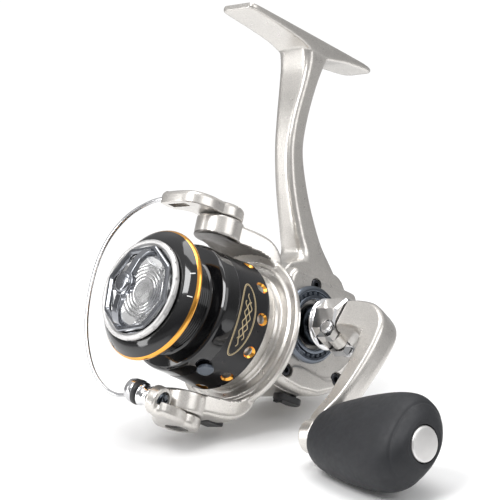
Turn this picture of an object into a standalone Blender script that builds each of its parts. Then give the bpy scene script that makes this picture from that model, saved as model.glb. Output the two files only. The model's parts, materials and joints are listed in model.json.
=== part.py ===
"""Open-face spinning reel: body with foot, folding crank, rotor with bail, spool on a reciprocating shaft."""
import math
import bpy
import bmesh
from mathutils import Vector, Matrix

# ---------------------------------------------------------------- driving dimensions, in mm
MM = 0.001
SEAT_TO_AXIS = 88.4      # foot's flat top above the spool axis
FOOT_MID = 8.6           # middle of the foot along the spool axis
FOOT_FRONT, FOOT_REAR = -17.7, 34.9
LIP_R = 18.45            # spool lip
SKIRT_R = 18.2
ARBOR_R = 13.5
SHAFT_R = 1.6
RIM_R = 22.5             # rotor rim
ARM_IN, ARM_OUT = 22.3, 27.6   # rotor arm, distance of its faces from the spool axis
PIVOT_Y = -7.0           # bail pivots
CRANK_Y, CRANK_Z = 22.9, 6.6   # handle shaft axis (along X)
CRANK_ANGLE = math.radians(-20.3)
THROW = 38.3
KNOB_X = 36.2            # where the knob's post crosses the arm
KNOB_TILT = math.radians(3.0)
GEAR_R = 8.2
HOLES = 12
GAP = 0.3
SEG = 20                 # sides of a large round

for old in list(bpy.data.objects):
    bpy.data.objects.remove(old, do_unlink=True)
for block in list(bpy.data.meshes):
    bpy.data.meshes.remove(block)


# ---------------------------------------------------------------- helpers (all in mm)
def to_object(bm):
    bmesh.ops.recalc_face_normals(bm, faces=bm.faces)
    mesh = bpy.data.meshes.new("tmp")
    bm.to_mesh(mesh)
    bm.free()
    ob = bpy.data.objects.new("tmp", mesh)
    bpy.context.scene.collection.objects.link(ob)
    return ob


def from_rings(rings, closed=False):
    """Skin a list of rings (each a list of points, or one point) and cap its ends."""
    bm = bmesh.new()
    made = [[bm.verts.new(p) for p in ring] for ring in rings]
    pairs = list(zip(made[:-1], made[1:]))
    if closed:
        pairs.append((made[-1], made[0]))
    for a, b in pairs:
        n = max(len(a), len(b))
        for i in range(n):
            j = (i + 1) % n
            if len(a) == 1 and len(b) == 1:
                continue
            if len(a) == 1:
                bm.faces.new((a[0], b[j], b[i]))
            elif len(b) == 1:
                bm.faces.new((a[i], a[j], b[0]))
            else:
                bm.faces.new((a[i], a[j], b[j], b[i]))
    if not closed:
        for ring in (made[0], made[-1]):
            if len(ring) > 2:
                bm.faces.new(ring)
    return to_object(bm)


def lathe(profile, axis="Y", centre=(0, 0, 0), seg=SEG, turn=0.0):
    """Turn a profile of (radius, position) round an axis; it closes on itself unless it ends on the axis."""
    rings = []
    for r, a in profile:
        ring = []
        for i in range(1 if r < 1e-6 else seg):
            t = turn + 2 * math.pi * i / seg
            u, v = r * math.cos(t), r * math.sin(t)
            p = {"X": (a, u, v), "Y": (u, a, v), "Z": (u, v, a)}[axis]
            ring.append((p[0] + centre[0], p[1] + centre[1], p[2] + centre[2]))
        rings.append(ring)
    on_axis = profile[0][0] < 1e-6 and profile[-1][0] < 1e-6
    return from_rings(rings, closed=not on_axis)


def disc(r, a0, a1, axis="Y", centre=(0, 0, 0), seg=SEG, turn=0.0, ch=0.0):
    prof = [(0, a0), (r - ch, a0)] + ([(r, a0 + ch), (r, a1 - ch)] if ch else [])
    prof += [(r - ch, a1), (0, a1)]
    if not ch:
        prof = [(0, a0), (r, a0), (r, a1), (0, a1)]
    return lathe(prof, axis, centre, seg, turn)


def ring(r0, r1, a0, a1, axis="Y", centre=(0, 0, 0), seg=SEG, turn=0.0):
    return lathe([(r0, a0), (r1, a0), (r1, a1), (r0, a1)], axis, centre, seg, turn)


def prism(outline, axis, a0, a1):
    put = {"X": lambda u, v, a: (a, u, v), "Y": lambda u, v, a: (u, a, v), "Z": lambda u, v, a: (u, v, a)}[axis]
    return from_rings([[put(u, v, a0) for u, v in outline], [put(u, v, a1) for u, v in outline]])


def box(lo, hi):
    return prism([(lo[0], lo[1]), (hi[0], lo[1]), (hi[0], hi[1]), (lo[0], hi[1])], "Z", lo[2], hi[2])


def sweep(path, radius, seg=8):
    """A round bar along a smooth path; radius may be a list, one value for each point."""
    pts = [Vector(p) for p in path]
    radii = radius if isinstance(radius, (list, tuple)) else [radius] * len(pts)
    normal = None
    rings = []
    for i, p in enumerate(pts):
        d = (pts[min(i + 1, len(pts) - 1)] - pts[max(i - 1, 0)]).normalized()
        if normal is None:
            normal = d.orthogonal().normalized()
        normal = (normal - d * normal.dot(d)).normalized()
        other = d.cross(normal)
        rings.append([tuple(p + (normal * math.cos(2 * math.pi * k / seg) + other * math.sin(2 * math.pi * k / seg)) * radii[i])
                      for k in range(seg)])
    return from_rings(rings)


def smooth_path(points, steps):
    """Catmull-Rom curve through the given points."""
    pts = [Vector(p) for p in points]
    pts = [2 * pts[0] - pts[1]] + pts + [2 * pts[-1] - pts[-2]]
    out = []
    for i in range(1, len(pts) - 2):
        a, b, c, d = pts[i - 1:i + 3]
        for s in range(steps):
            t = s / steps
            out.append(0.5 * (2 * b + (c - a) * t + (2 * a - 5 * b + 4 * c - d) * t * t + (3 * b - a - 3 * c + d) * t ** 3))
    out.append(pts[-2])
    return [tuple(p) for p in out]


def solve(a, b, kind):
    mod = a.modifiers.new("op", "BOOLEAN")
    mod.operation = kind
    mod.solver = "EXACT"
    mod.object = b
    bpy.context.view_layer.update()
    result = bpy.data.meshes.new_from_object(a.evaluated_get(bpy.context.evaluated_depsgraph_get()))
    a.modifiers.clear()
    tidy = bmesh.new()
    tidy.from_mesh(result)
    bmesh.ops.remove_doubles(tidy, verts=tidy.verts, dist=0.004)
    bmesh.ops.dissolve_degenerate(tidy, dist=0.004, edges=tidy.edges)
    tidy.to_mesh(result)
    tidy.free()
    a.data = result
    bpy.data.objects.remove(b, do_unlink=True)
    return a


def cut(a, *tools):
    for b in tools:
        a = solve(a, b, "DIFFERENCE")
    return a


def fuse(a, *tools):
    for b in tools:
        a = solve(a, b, "UNION")
    return a


def bevel(ob, width, pick, segments=1):
    """Bevel the edges for which pick(midpoint, angle) is true."""
    bm = bmesh.new()
    bm.from_mesh(ob.data)
    edges = [e for e in bm.edges if len(e.link_faces) == 2 and
             pick((e.verts[0].co + e.verts[1].co) / 2, math.degrees(e.calc_face_angle(0)))]
    bmesh.ops.bevel(bm, geom=edges, offset=width, segments=segments, profile=0.5, affect="EDGES", clamp_overlap=True)
    bm.to_mesh(ob.data)
    bm.free()
    return ob


def place(ob, matrix):
    ob.data.transform(matrix)
    if matrix.determinant() < 0:
        ob.data.flip_normals()
    return ob


def material(name, colour, rough, metal):
    m = bpy.data.materials.get(name)
    if m is None:
        m = bpy.data.materials.new(name)
        m.use_nodes = True
        s = m.node_tree.nodes["Principled BSDF"]
        s.inputs["Base Color"].default_value = (*colour, 1)
        s.inputs["Roughness"].default_value = rough
        s.inputs["Metallic"].default_value = metal
    return m


PAINT = ("silver_paint", (0.66, 0.64, 0.61), 0.32, 0.6)
BLACK = ("black_anodised", (0.012, 0.012, 0.014), 0.16, 0.7)
CHROME = ("bright_chrome", (0.78, 0.78, 0.80), 0.10, 1.0)
DARK = ("dark_chrome", (0.10, 0.11, 0.13), 0.16, 1.0)
STEEL = ("ground_steel", (0.60, 0.60, 0.61), 0.28, 1.0)
BRASS = ("gear_brass", (0.68, 0.50, 0.24), 0.32, 1.0)
ZINC = ("gear_zinc", (0.50, 0.50, 0.52), 0.38, 1.0)
RUBBER = ("grip_rubber", (0.035, 0.036, 0.040), 0.70, 0.0)
PLASTIC = ("black_plastic", (0.03, 0.03, 0.032), 0.45, 0.0)
FELT = ("washer_felt", (0.42, 0.36, 0.26), 0.9, 0.0)
BLACKSCREW = ("black_screw", (0.03, 0.03, 0.035), 0.3, 0.9)


def world(p):
    return Vector((p[0], p[1] - FOOT_MID, p[2] - SEAT_TO_AXIS)) * MM


def finish(ob, name, look, origin=(0, 0, 0), parent=None, matrix=None):
    """Name the solid, put its origin on its joint axis and give it its own material."""
    bm = bmesh.new()
    bm.from_mesh(ob.data)
    bmesh.ops.remove_doubles(bm, verts=bm.verts, dist=0.0005)
    bmesh.ops.dissolve_degenerate(bm, dist=0.0005, edges=bm.edges)
    bmesh.ops.recalc_face_normals(bm, faces=bm.faces)
    bm.to_mesh(ob.data)
    bm.free()
    if matrix is not None:
        ob.data.transform(matrix)
    at = world(origin)
    for v in ob.data.vertices:
        v.co = world(v.co) - at
    ob.location = at
    ob.name = name
    ob.data.name = name
    ob.data.materials.clear()
    ob.data.materials.append(material(name + "_" + look[0], *look[1:]))
    ob.data.shade_smooth()
    ob.data.set_sharp_from_angle(angle=math.radians(32))
    return ob


# ---------------------------------------------------------------- frame: body, cover and what is fixed in them
HOUSING = [(12.4, -11.6), (24, -12.6), (31, -11.8), (38, -8.4), (43.4, -2.6), (45.4, 4), (44.5, 11),
           (41.5, 17), (38, 22.5), (34, 25), (20, 25), (15, 22.5), (12.4, 18.5)]
CAVITY = [(14.7, -9.6), (24, -10.6), (31, -9.8), (37, -6.6), (41.6, -1.6), (43.4, 4), (42.6, 10),
          (39.8, 15.6), (36.2, 20.2), (18, 20.2), (14.7, 17)]
COVER = [(12.4, -11.6), (24, -12.6), (31, -11.8), (38, -8.4), (43.4, -2.6), (45.4, 4), (44.5, 11),
         (41.5, 17), (39.1, 20.8), (13.9, 20.8), (12.4, 18.5)]
COVER_SCREWS = {"cover_screw_top": (22.5, 18.1), "cover_screw_front": (17.5, -8.2), "cover_screw_rear": (37.3, -5.0)}


def rounded(cx, cy, wx, wy, r, z, n=2):
    """Rounded rectangle ring at height z, half sizes wx and wy."""
    pts = []
    for sx, sy, a0 in ((1, 1, 0), (-1, 1, 90), (-1, -1, 180), (1, -1, 270)):
        for k in range(n + 1):
            a = math.radians(a0 + 90 * k / n)
            pts.append((cx + sx * (wx - r) + r * math.cos(a), cy + sy * (wy - r) + r * math.sin(a), z))
    return pts


def make_body():
    body = prism(HOUSING, "X", -12.2, 7.9)
    body = bevel(body, 3.2, lambda m, a: m.x < -12.1 and a > 60 and m.y > 12.6, 3)
    # stem, from the housing up to the foot: (z, front y, rear y, half width)
    stem = [(21.0, 16.5, 38.6, 6.9), (24.5, 19.5, 37.4, 6.2), (28.0, 22.2, 33.9, 5.2), (32.7, 19.6, 29.6, 4.5),
            (40.5, 15.5, 24.2, 3.9), (48.4, 12.2, 19.6, 3.6), (56.6, 9.9, 15.7, 3.6), (65.1, 8.9, 14.6, 4.3),
            (73.8, 8.6, 14.2, 5.4), (80.0, 8.0, 14.6, 6.1), (84.0, 6.6, 16.0, 6.3), (87.2, 4.2, 18.6, 6.3)]
    rings = []
    for z, y0, y1, w in stem:
        h = (y1 - y0) / 2
        rings.append(rounded(0, (y0 + y1) / 2, w, h, min(w, h) * 0.42, z))
    body = fuse(body, from_rings(rings))
    # foot: (y, underside z, half width)
    foot = [(FOOT_FRONT, 86.7, 5.4), (-15.6, 86.5, 6.2), (-5, 86.0, 6.4), (3, 85.2, 6.45), (8, 84.0, 6.45), (14, 83.6, 6.45),
            (18, 84.4, 6.45), (23, 85.6, 6.4), (30, 86.6, 6.2), (33.4, 87.0, 5.4), (FOOT_REAR, 87.3, 3.9)]
    top = SEAT_TO_AXIS
    rings = [[(-w, y, z0 + 0.3), (-w + 0.8, y, z0), (w - 0.8, y, z0), (w, y, z0 + 0.3), (w, y, top - 0.5),
              (w - 0.5, y, top), (-w + 0.5, y, top), (-w, y, top - 0.5)] for y, z0, w in foot]
    body = fuse(body, from_rings(rings))
    # nose that carries the clutch and the pinion bearing, inside the rotor's rear recess
    body = fuse(body, disc(11.0, 8.7, 13.5))
    # boss for the left drive bearing, on the closed wall (added after the cavity is cut)
    body = cut(body, prism(CAVITY, "X", -9.7, 9.0))
    body = fuse(body, disc(9.0, 12.6, 14.5, seg=24))
    body = cut(body, box((7.87, 12.09, -14), (14, 16, 14)))
    body = fuse(body, ring(6.4, 7.9, -10.4, -7.2, "X", (0, CRANK_Y, CRANK_Z), 24))
    body = cut(body, disc(8.5, 8.0, 11.4), disc(6.6, 11.0, 14.3, seg=24), disc(4.2, 14.0, 15.5, seg=20),
               disc(3.3, -14, -9.0, "X", (0, CRANK_Y, CRANK_Z), 20),
               disc(1.5, -14, -10.0, "Z", (5.0, 29.0, 0), 12))
    # three pillars that take the cover screws
    for y, z in COVER_SCREWS.values():
        body = fuse(body, disc(2.45, 3.9, 7.8, "X", (0, y, z), 12))
        body = cut(body, disc(1.15, 4.6, 9.0, "X", (0, y, z), 10))
    return body


finish(make_body(), "body_frame", PAINT)

cover = prism(COVER, "X", 8.2, 12.2)
cover = bevel(cover, 1.9, lambda m, a: m.x > 12.1 and a > 60 and m.y > 12.6, 2)
cover = cut(cover, disc(6.4, 7.0, 10.6, "X", (0, CRANK_Y, CRANK_Z), 24), disc(4.0, 9.0, 13.0, "X", (0, CRANK_Y, CRANK_Z), 20))
for sy, sz in COVER_SCREWS.values():
    cover = cut(cover, disc(2.1, 10.6, 13.0, "X", (0, sy, sz), 16), disc(1.3, 7.0, 11.0, "X", (0, sy, sz), 10))
finish(cover, "side_cover", PAINT)

for name, (sy, sz) in COVER_SCREWS.items():
    screw = lathe([(0, 5.0), (0.85, 5.0), (0.85, 10.9), (1.75, 10.9), (1.75, 12.0), (1.4, 12.25), (0.8, 12.25), (0.7, 11.6), (0, 11.6)], "X", (0, sy, sz), 10)
    finish(screw, name, BLACKSCREW, (0, sy, sz))

boss = (0, CRANK_Y, CRANK_Z)
finish(lathe([(7.0, 12.5), (10.9, 12.5), (10.9, 13.5), (10.2, 14.1), (9.3, 14.1), (9.1, 13.5), (8.3, 13.5), (8.1, 14.4), (7.3, 14.4), (7.0, 14.1)],
             "X", boss), "boss_ring", DARK, boss)
finish(lathe([(0, -10.2), (2.9, -10.2), (2.9, -12.5), (6.3, -12.5), (6.3, -13.4), (5.5, -14.2), (0, -14.4)], "X", boss, 16), "left_cap", PAINT, boss)
finish(ring(3.25, 6.3, 11.7, 14.0, seg=16), "pinion_bearing", STEEL)
finish(ring(3.25, 8.2, 8.9, 11.2, seg=16), "oneway_clutch", STEEL)
finish(ring(3.5, 6.1, 8.3, 10.3, "X", boss, 16), "drive_bearing_right", STEEL, boss)
finish(ring(3.5, 6.1, -9.4, -7.3, "X", boss, 16), "drive_bearing_left", STEEL, boss)
finish(disc(0.8, 26.5, 38.6, centre=(0, 0, -3.9), seg=10), "guide_rod", STEEL, (0, 26.5, -3.9))

LEVER = (5.0, 29.0, -13.0)
lever = prism([(5 + 2.6 * math.cos(a), 29 + 2.6 * math.sin(a)) for a in [math.radians(d) for d in range(0, 181, 30)]] +
              [(3.0, 24.0), (4.0, 22.6), (6.0, 22.6), (7.0, 24.0)], "Z", -14.9, -13.0)
lever = fuse(lever, disc(1.15, -13.5, -11.3, "Z", (5.0, 29.0, 0), 12))
lever = fuse(lever, box((3.9, 22.9, -15.9), (6.1, 24.4, -14.5)))
finish(lever, "antireverse_lever", PLASTIC, LEVER)

# ---------------------------------------------------------------- crank line
q = Vector((0, math.sin(CRANK_ANGLE), -math.cos(CRANK_ANGLE)))     # from the shaft to the knob
t = Vector((0, math.cos(CRANK_ANGLE), math.sin(CRANK_ANGLE)))      # across the arm
AXIS0 = Vector((0, CRANK_Y, CRANK_Z))


def crank_point(x, out, side=0.0):
    p = AXIS0 + Vector((x, 0, 0)) + q * out + t * side
    return (p.x, p.y, p.z)


CRANK = Matrix(((1, 0, 0, 0), (0, t.y, q.y, CRANK_Y), (0, t.z, q.z, CRANK_Z), (0, 0, 0, 1)))  # (x, side, out) to the reel

gear = lathe([(2.3, -9.2), (3.2, -9.2), (3.2, 4.5), (4.9, 4.5), (GEAR_R, 4.7), (GEAR_R, 6.5), (6.9, 6.5), (6.9, 7.2), (3.2, 7.2), (3.2, 12.0), (2.3, 12.0)], "X", boss, 24)
finish(gear, "drive_gear", BRASS, boss)

shaft = lathe([(0, -9.0), (1.95, -9.0), (1.95, 12.5), (5.0, 12.6), (5.9, 13.0), (5.9, 18.2), (7.1, 18.4), (7.3, 18.9), (7.1, 19.4), (6.3, 19.8), (0, 19.8)], "X", boss)
head = from_rings([[(x, r * math.cos(math.radians(a)), r * math.sin(math.radians(a))) for a in range(0, 360, 45)] for x, r in ((19.3, 6.4), (20.0, 7.1), (27.2, 7.1), (27.8, 6.5))])
head = place(head, CRANK)
shaft = fuse(shaft, head)
# fork that takes the folding arm's tongue
shaft = fuse(shaft, place(box((23.0, -4.4, 3.1), (27.71, 4.4, 7.9)), CRANK))
shaft = cut(shaft, place(box((23.4, -2.2, 0.2), (29.0, 2.2, 9.0)), CRANK))
fold_at = crank_point(25.9, 5.4)
for g in (1, -1):
    shaft = cut(shaft, sweep([crank_point(25.9, 5.4, g * 4.63), crank_point(25.9, 5.4, g * 9.0)], 2.3, 16))
pin_hole = sweep([crank_point(25.9, 5.4, -8), crank_point(25.9, 5.4, 8)], 1.3, 12)
shaft = cut(shaft, pin_hole)
finish(shaft, "crank_shaft", CHROME, boss)
pin = sweep([crank_point(25.9, 5.4, s) for s in (-5.0, -4.95, 5.15, 5.2)], [0.8, 1.0, 1.0, 0.8], 12)
pin = fuse(pin, sweep([crank_point(25.9, 5.4, s) for s in (4.9, 5.0, 6.0, 6.1)], [1.6, 1.9, 1.9, 1.6], 14),
           sweep([crank_point(25.9, 5.4, s) for s in (-6.1, -6.0, -5.0, -4.9)], [1.6, 1.9, 1.9, 1.6], 14))
finish(pin, "fold_pin", STEEL, fold_at)

arm_line = [(28.3, 0.0, 5.0, 5.0), (32.0, 0.1, 5.0, 4.9), (36.5, 1.0, 4.8, 4.6), (40.0, 4.0, 4.2, 4.2), (41.2, 9.0, 3.4, 3.8), (40.8, 15.8, 3.1, 3.5),
            (40.0, 22.1, 2.8, 3.4), (39.0, 26.8, 2.4, 3.3), (37.6, 30.1, 2.1, 3.3), (36.4, 33.6, 2.0, 3.4), (36.2, 38.3, 2.0, 3.2)]
rings = []
for i, (x, out, h, w) in enumerate(arm_line):
    a, b = arm_line[max(i - 1, 0)], arm_line[min(i + 1, len(arm_line) - 1)]
    d = Vector((b[0] - a[0], b[1] - a[1])).normalized()
    if i == 0:
        d = Vector((1, 0))
    n = Vector((d.y, -d.x))
    c = min(h, w) * 0.35
    ringp = []
    for u, s in ((h, w - c), (h - c, w), (-h + c, w), (-h, w - c), (-h, -w + c), (-h + c, -w), (h - c, -w), (h, -w + c)):
        ringp.append(crank_point(x + n.x * u, out + n.y * u, s))
    rings.append(ringp)
arm = from_rings(rings)
arm = fuse(arm, disc(4.7, 34.1, 38.2, "X", crank_point(0, THROW), 20))
# tongue that sits in the shaft's fork
arm = fuse(arm, place(box((24.6, -1.9, 3.6), (29.8, 1.9, 4.95)), CRANK), sweep([crank_point(25.9, 5.4, -1.82), crank_point(25.9, 5.4, 1.82)], 2.15, 12))
arm = cut(arm, sweep([crank_point(25.9, 5.4, -8), crank_point(25.9, 5.4, 8)], 1.3, 12),
          disc(1.6, 30, 40, "X", crank_point(0, THROW), 12))
finish(arm, "handle_arm", PAINT, fold_at)

# knob, modelled along +Z and tilted onto the arm's end
k = (Vector((1, 0, 0)) * math.cos(KNOB_TILT) + q * math.sin(KNOB_TILT)).normalized()
wide = (q * math.cos(KNOB_TILT) - Vector((1, 0, 0)) * math.sin(KNOB_TILT)).normalized()
thin = k.cross(wide)
K0 = Vector(crank_point(KNOB_X, THROW))
KNOB = Matrix(((wide.x, thin.x, k.x, K0.x), (wide.y, thin.y, k.y, K0.y), (wide.z, thin.z, k.z, K0.z), (0, 0, 0, 1)))

post = lathe([(0, -3.8), (2.8, -3.8), (3.9, -3.4), (3.9, -2.6), (1.3, -2.6), (1.3, 31.0), (0, 31.0)], "Z", seg=20)
finish(place(post, KNOB), "knob_post", STEEL, tuple(K0))
finish(place(ring(1.6, 2.7, 4.2, 28.0, "Z", seg=16), KNOB), "knob_bush", PLASTIC, tuple(K0))


def knob_ring(z, a, b, n=18, p=2.3):
    pts = []
    for i in range(n):
        c, s = math.cos(2 * math.pi * i / n), math.sin(2 * math.pi * i / n)
        pts.append((math.copysign(abs(c) ** (2 / p), c) * a, math.copysign(abs(s) ** (2 / p), s) * b, z))
    return pts


KNOB_FORM = [(2.6, 4.6, 4.2), (2.9, 6.0, 5.2), (4.0, 7.6, 6.2), (7.0, 9.4, 7.0), (12, 11.0, 7.9), (19, 12.6, 8.9), (26, 13.7, 9.5),
             (31.0, 13.9, 9.5), (34.5, 13.2, 9.0), (37.2, 11.2, 7.8), (39.2, 8.4, 6.6), (40.0, 6.2, 5.8)]
grip = from_rings([knob_ring(z, a, b) for z, a, b in KNOB_FORM])
grip = cut(grip, place(disc(3.0, 1.0, 28.4, "Z", seg=16), Matrix()), disc(1.9, 20, 32.0, "Z", seg=16), disc(5.2, 38.4, 42, "Z", seg=24))
finish(place(grip, KNOB), "knob_grip", RUBBER, tuple(K0))
finish(place(lathe([(0, 38.7), (4.85, 38.7), (4.85, 39.9), (4.4, 40.5), (0, 40.8)], "Z", seg=24), KNOB), "knob_cap", STEEL, tuple(K0))

# ---------------------------------------------------------------- rotor line
rotor = lathe([(3.2, 3.0), (7.0, 3.0), (7.0, 5.5), (15.6, 5.5), (15.6, -8.0), (17.1, -8.0), (17.1, 7.2), (19.7, 7.2), (20.2, 7.7), (22.2, 7.7), (RIM_R, 8.1),
               (22.3, 9.2), (21.2, 10.6), (19.4, 11.6), (18.2, 11.9), (12.2, 11.9), (12.2, 8.2), (3.2, 8.2)], seg=28)


def arm_shell(sign):
    # (y, inner distance, outer distance, half width)
    line = [(11.4, 16.8, 18.4, 9.0), (10.3, 17.6, 21.8, 10.2), (8.7, 19.2, 25.0, 10.0), (6.2, 21.6, 26.9, 9.4), (2.9, ARM_IN, ARM_OUT, 8.4), (-2.1, ARM_IN, ARM_OUT, 6.9),
            (-7.6, ARM_IN + 0.1, ARM_OUT - 0.1, 5.1)]
    rings = []
    for y, r0, r1, w in line:
        xs = [-w, -w * 0.4, w * 0.4, w]
        drop = lambda x, r: r - (26 - math.sqrt(26 * 26 - x * x))
        low = [(x, y, sign * drop(x, r0)) for x in xs]
        high = [(x * 0.96, y, sign * drop(x, r1)) for x in reversed(xs)]
        rings.append(low + high)
    return from_rings(rings)


for sign in (1, -1):
    rotor = fuse(rotor, arm_shell(sign))
for sign in (1, -1):
    lo, hi = sorted((sign * 22.15, sign * 27.9))
    rotor = fuse(rotor, disc(6.6, lo, hi, "Z", (0, PIVOT_Y, 0), 18, turn=0.11))
for sign in (1, -1):
    rotor = cut(rotor, disc(1.9, min(sign * 24.0, sign * 30), max(sign * 24.0, sign * 30), "Z", (0, PIVOT_Y, 0), 10, turn=0.23))
rotor = cut(rotor, box((-1.71, 0.93, -28.5), (1.71, 6.97, -23.6)))
for sign in (1, -1):
    zz = sorted((sign * 26.3, sign * 29.0))
    rotor = cut(rotor, box((-3.53, 0.47, zz[0]), (3.53, 7.34, zz[1])))
finish(rotor, "rotor", PAINT)
for sign, name in ((1, "arm_cover_far"), (-1, "arm_cover_roller")):
    zz = sorted((sign * 26.6, sign * 27.7))
    finish(box((-3.2, 0.8, zz[0]), (3.2, 7.0, zz[1])), name, PAINT if sign > 0 else PLASTIC, (0, 3.9, sign * 27))
coil = [(0.95 * math.cos(a), 1.5 + 4.9 * i / 28, -24.95 + 0.95 * math.sin(a)) for i, a in ((i, 2 * math.pi * 4 * i / 28) for i in range(29))]
finish(sweep(coil, 0.22, 4), "bail_spring", STEEL, (0, 3.9, -24.95))

pinion = lathe([(1.95, -0.2), (2.9, -0.2), (2.9, 15.2), (1.95, 15.2)], seg=20)
teeth = []
for i in range(8):
    for r, da in ((2.75, -13), (3.6, -6), (3.6, 6), (2.75, 13)):
        a = math.radians(45 * i + da)
        teeth.append((r * math.cos(a), r * math.sin(a)))
wheel = prism([(u, v) for u, v in teeth], "Y", 14.9, 20.6)
wheel = cut(wheel, disc(1.95, 10, 25, seg=20))
finish(fuse(pinion, wheel), "pinion_gear", BRASS)
nut = prism([(5.6 * math.cos(math.radians(a)), 5.6 * math.sin(math.radians(a))) for a in range(0, 360, 60)], "Y", 0.4, 2.7)
finish(cut(nut, disc(3.2, -1, 4, seg=20)), "rotor_nut", STEEL)
for sign, name in ((1, "pivot_screw_far"), (-1, "pivot_screw_roller")):
    prof = [(0, 24.3), (1.5, 24.3), (1.5, 30.2), (3.0, 30.2), (3.0, 31.2), (2.5, 31.6), (0, 31.6)]
    finish(lathe([(r, sign * a) for r, a in prof], "Z", (0, PIVOT_Y, 0), 16), name, STEEL, (0, PIVOT_Y, sign * 24.3))

# ---------------------------------------------------------------- bail
PIVOT = (0, PIVOT_Y, 0)


def arc(cx, cy, r, a0, a1, n):
    return [(cx + r * math.cos(math.radians(a0 + (a1 - a0) * i / n)), cy + r * math.sin(math.radians(a0 + (a1 - a0) * i / n))) for i in range(n + 1)]


far_line = arc(0, PIVOT_Y, 6.1, -40, 200, 12) + [(-5.6, -13.5), (-8.6, -16.0), (-9.6, -17.2), (-9.6, -20.8), (-8.4, -22.0), (-1.0, -22.0), (2.8, -20.2), (4.7, -16.0)]
far = prism(far_line, "Z", 28.3, 32.0)
far = bevel(far, 1.3, lambda m, a: m.z > 31.9 and a > 60, 2)
far = cut(far, disc(3.3, 29.9, 34, "Z", PIVOT, 12), disc(1.8, 27, 30.5, "Z", PIVOT, 12), box((-7.6, -20.6, 27.0), (-1.0, -18.0, 29.4)))
far = cut(far, sweep([(-12, -19.3, 30.6), (-6.0, -19.3, 30.6)], 0.95, 10))
finish(far, "far_arm", PAINT, PIVOT)

A0 = Vector((5.0, -18.2, -28.0))
u = Vector((-0.925, -0.265, 0.27)).normalized()
side = u.orthogonal().normalized()
ROLL = Matrix(((side.x, u.cross(side).x, u.x, A0.x), (side.y, u.cross(side).y, u.y, A0.y), (side.z, u.cross(side).z, u.z, A0.z), (0, 0, 0, 1)))
roll_line = arc(0, PIVOT_Y, 6.1, -30, 180, 12) + [(-5.9, -10.5), (-2.4, -14.6), (0.2, -16.2), (2.0, -19.6), (6.4, -20.6), (7.4, -15.0), (6.4, -11.0)]
rarm = prism(roll_line, "Z", -32.0, -28.3)
rarm = bevel(rarm, 1.3, lambda m, a: m.z < -31.9 and a > 60, 2)
rarm = fuse(rarm, place(disc(4.1, 0.2, 3.35, "Z", seg=20, ch=0.5), ROLL))
rarm = cut(rarm, disc(3.3, -34, -29.9, "Z", PIVOT, 12), disc(1.8, -30.5, -27, "Z", PIVOT, 12),
           place(disc(2.5, -1, 1.5, "Z", seg=16), ROLL), place(disc(1.35, 0, 5, "Z", seg=12), ROLL),
           place(disc(4.6, 3.15, 13, "Z", seg=16), ROLL))
finish(rarm, "roller_arm", PAINT, PIVOT)
rs = lathe([(0, 0.1), (1.5, 0.1), (2.15, 0.5), (2.15, 1.2), (1.05, 1.2), (1.05, 9.5), (0, 9.5)], "Z", seg=12)
finish(place(rs, ROLL), "roller_screw", DARK, PIVOT)
finish(place(ring(1.35, 1.95, 3.8, 7.2, "Z", seg=16), ROLL), "roller_bush", PLASTIC, PIVOT)
finish(place(lathe([(2.25, 3.7), (3.3, 3.7), (3.3, 4.2), (2.8, 4.8), (2.7, 5.4), (2.8, 6.2), (3.3, 6.8), (3.3, 7.3), (2.25, 7.3)], "Z", seg=20), ROLL),
       "line_roller", CHROME, tuple(A0 + u * 5.5))
cone = place(lathe([(1.35, 7.6), (3.4, 7.6), (3.5, 8.4), (3.4, 10.2), (2.9, 11.6), (1.9, 12.3), (0, 12.5), (0, 10.0), (1.35, 10.0)], "Z", seg=20), ROLL)
WIRE = [(-4.2, -20.9, -26.2), (-9.0, -22.2, -27.0), (-13.8, -23.1, -25.4), (-18.6, -24.2, -21.0), (-22.6, -24.8, -14.4), (-25.3, -25.2, -6.4), (-26.8, -25.0, 2.6),
        (-27.0, -24.3, 11.4), (-25.4, -23.2, 19.0), (-21.6, -21.6, 25.4), (-15.8, -20.0, 29.4), (-10.2, -19.3, 30.6), (-7.0, -19.3, 30.6)]
wire = sweep(smooth_path(WIRE, 2), 0.6, 6)
finish(fuse(cone, wire), "bail_wire", STEEL, PIVOT)

# ---------------------------------------------------------------- main shaft line
mshaft = disc(SHAFT_R, -27.9, 33.5, seg=16, ch=0.25)
finish(mshaft, "main_shaft", STEEL)
slider = box((-4.3, 28.6, -6.0), (3.5, 32.0, 5.0))
slider = cut(slider, disc(1.9, 27, 33, seg=14), disc(1.1, 27, 33, centre=(0, 0, -3.9), seg=12), box((-5, 29.3, -2.4), (-3.0, 31.3, 4.4)), disc(0.75, 1.0, 6, "Z", (0, 30.3, 0), 10))
finish(slider, "oscillation_slider", ZINC, (0, 30.3, 0))
finish(lathe([(0, 2.2), (0.5, 2.2), (0.5, 5.3), (1.1, 5.3), (1.1, 6.0), (0, 6.0)], "Z", (0, 30.3, 0), 10), "slider_screw", STEEL, (0, 30.3, 2.2))
finish(ring(1.9, 10.6, -22.9, -22.2, seg=20), "drag_washer_metal", STEEL)
finish(ring(3.0, 11.2, -21.8, -20.9, seg=20), "drag_washer_felt", FELT)
finish(ring(10.9, 11.55, -24.0, -23.4, seg=24), "drag_retainer", STEEL)

OSC = (0, 34.9, 2.0)
osc_teeth = []
for i in range(10):
    for r, da in ((3.0, -12), (3.6, -4), (3.6, 4), (3.0, 12)):
        a = math.radians(36 * i + da)
        osc_teeth.append((OSC[1] + r * math.cos(a), OSC[2] + r * math.sin(a)))
osc = prism(osc_teeth, "X", -9.0, -7.4)
osc = fuse(osc, disc(0.8, -8.0, -5.2, "X", (0, OSC[1] - 2.2, OSC[2]), 10))
finish(osc, "oscillation_gear", ZINC, OSC)

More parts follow.
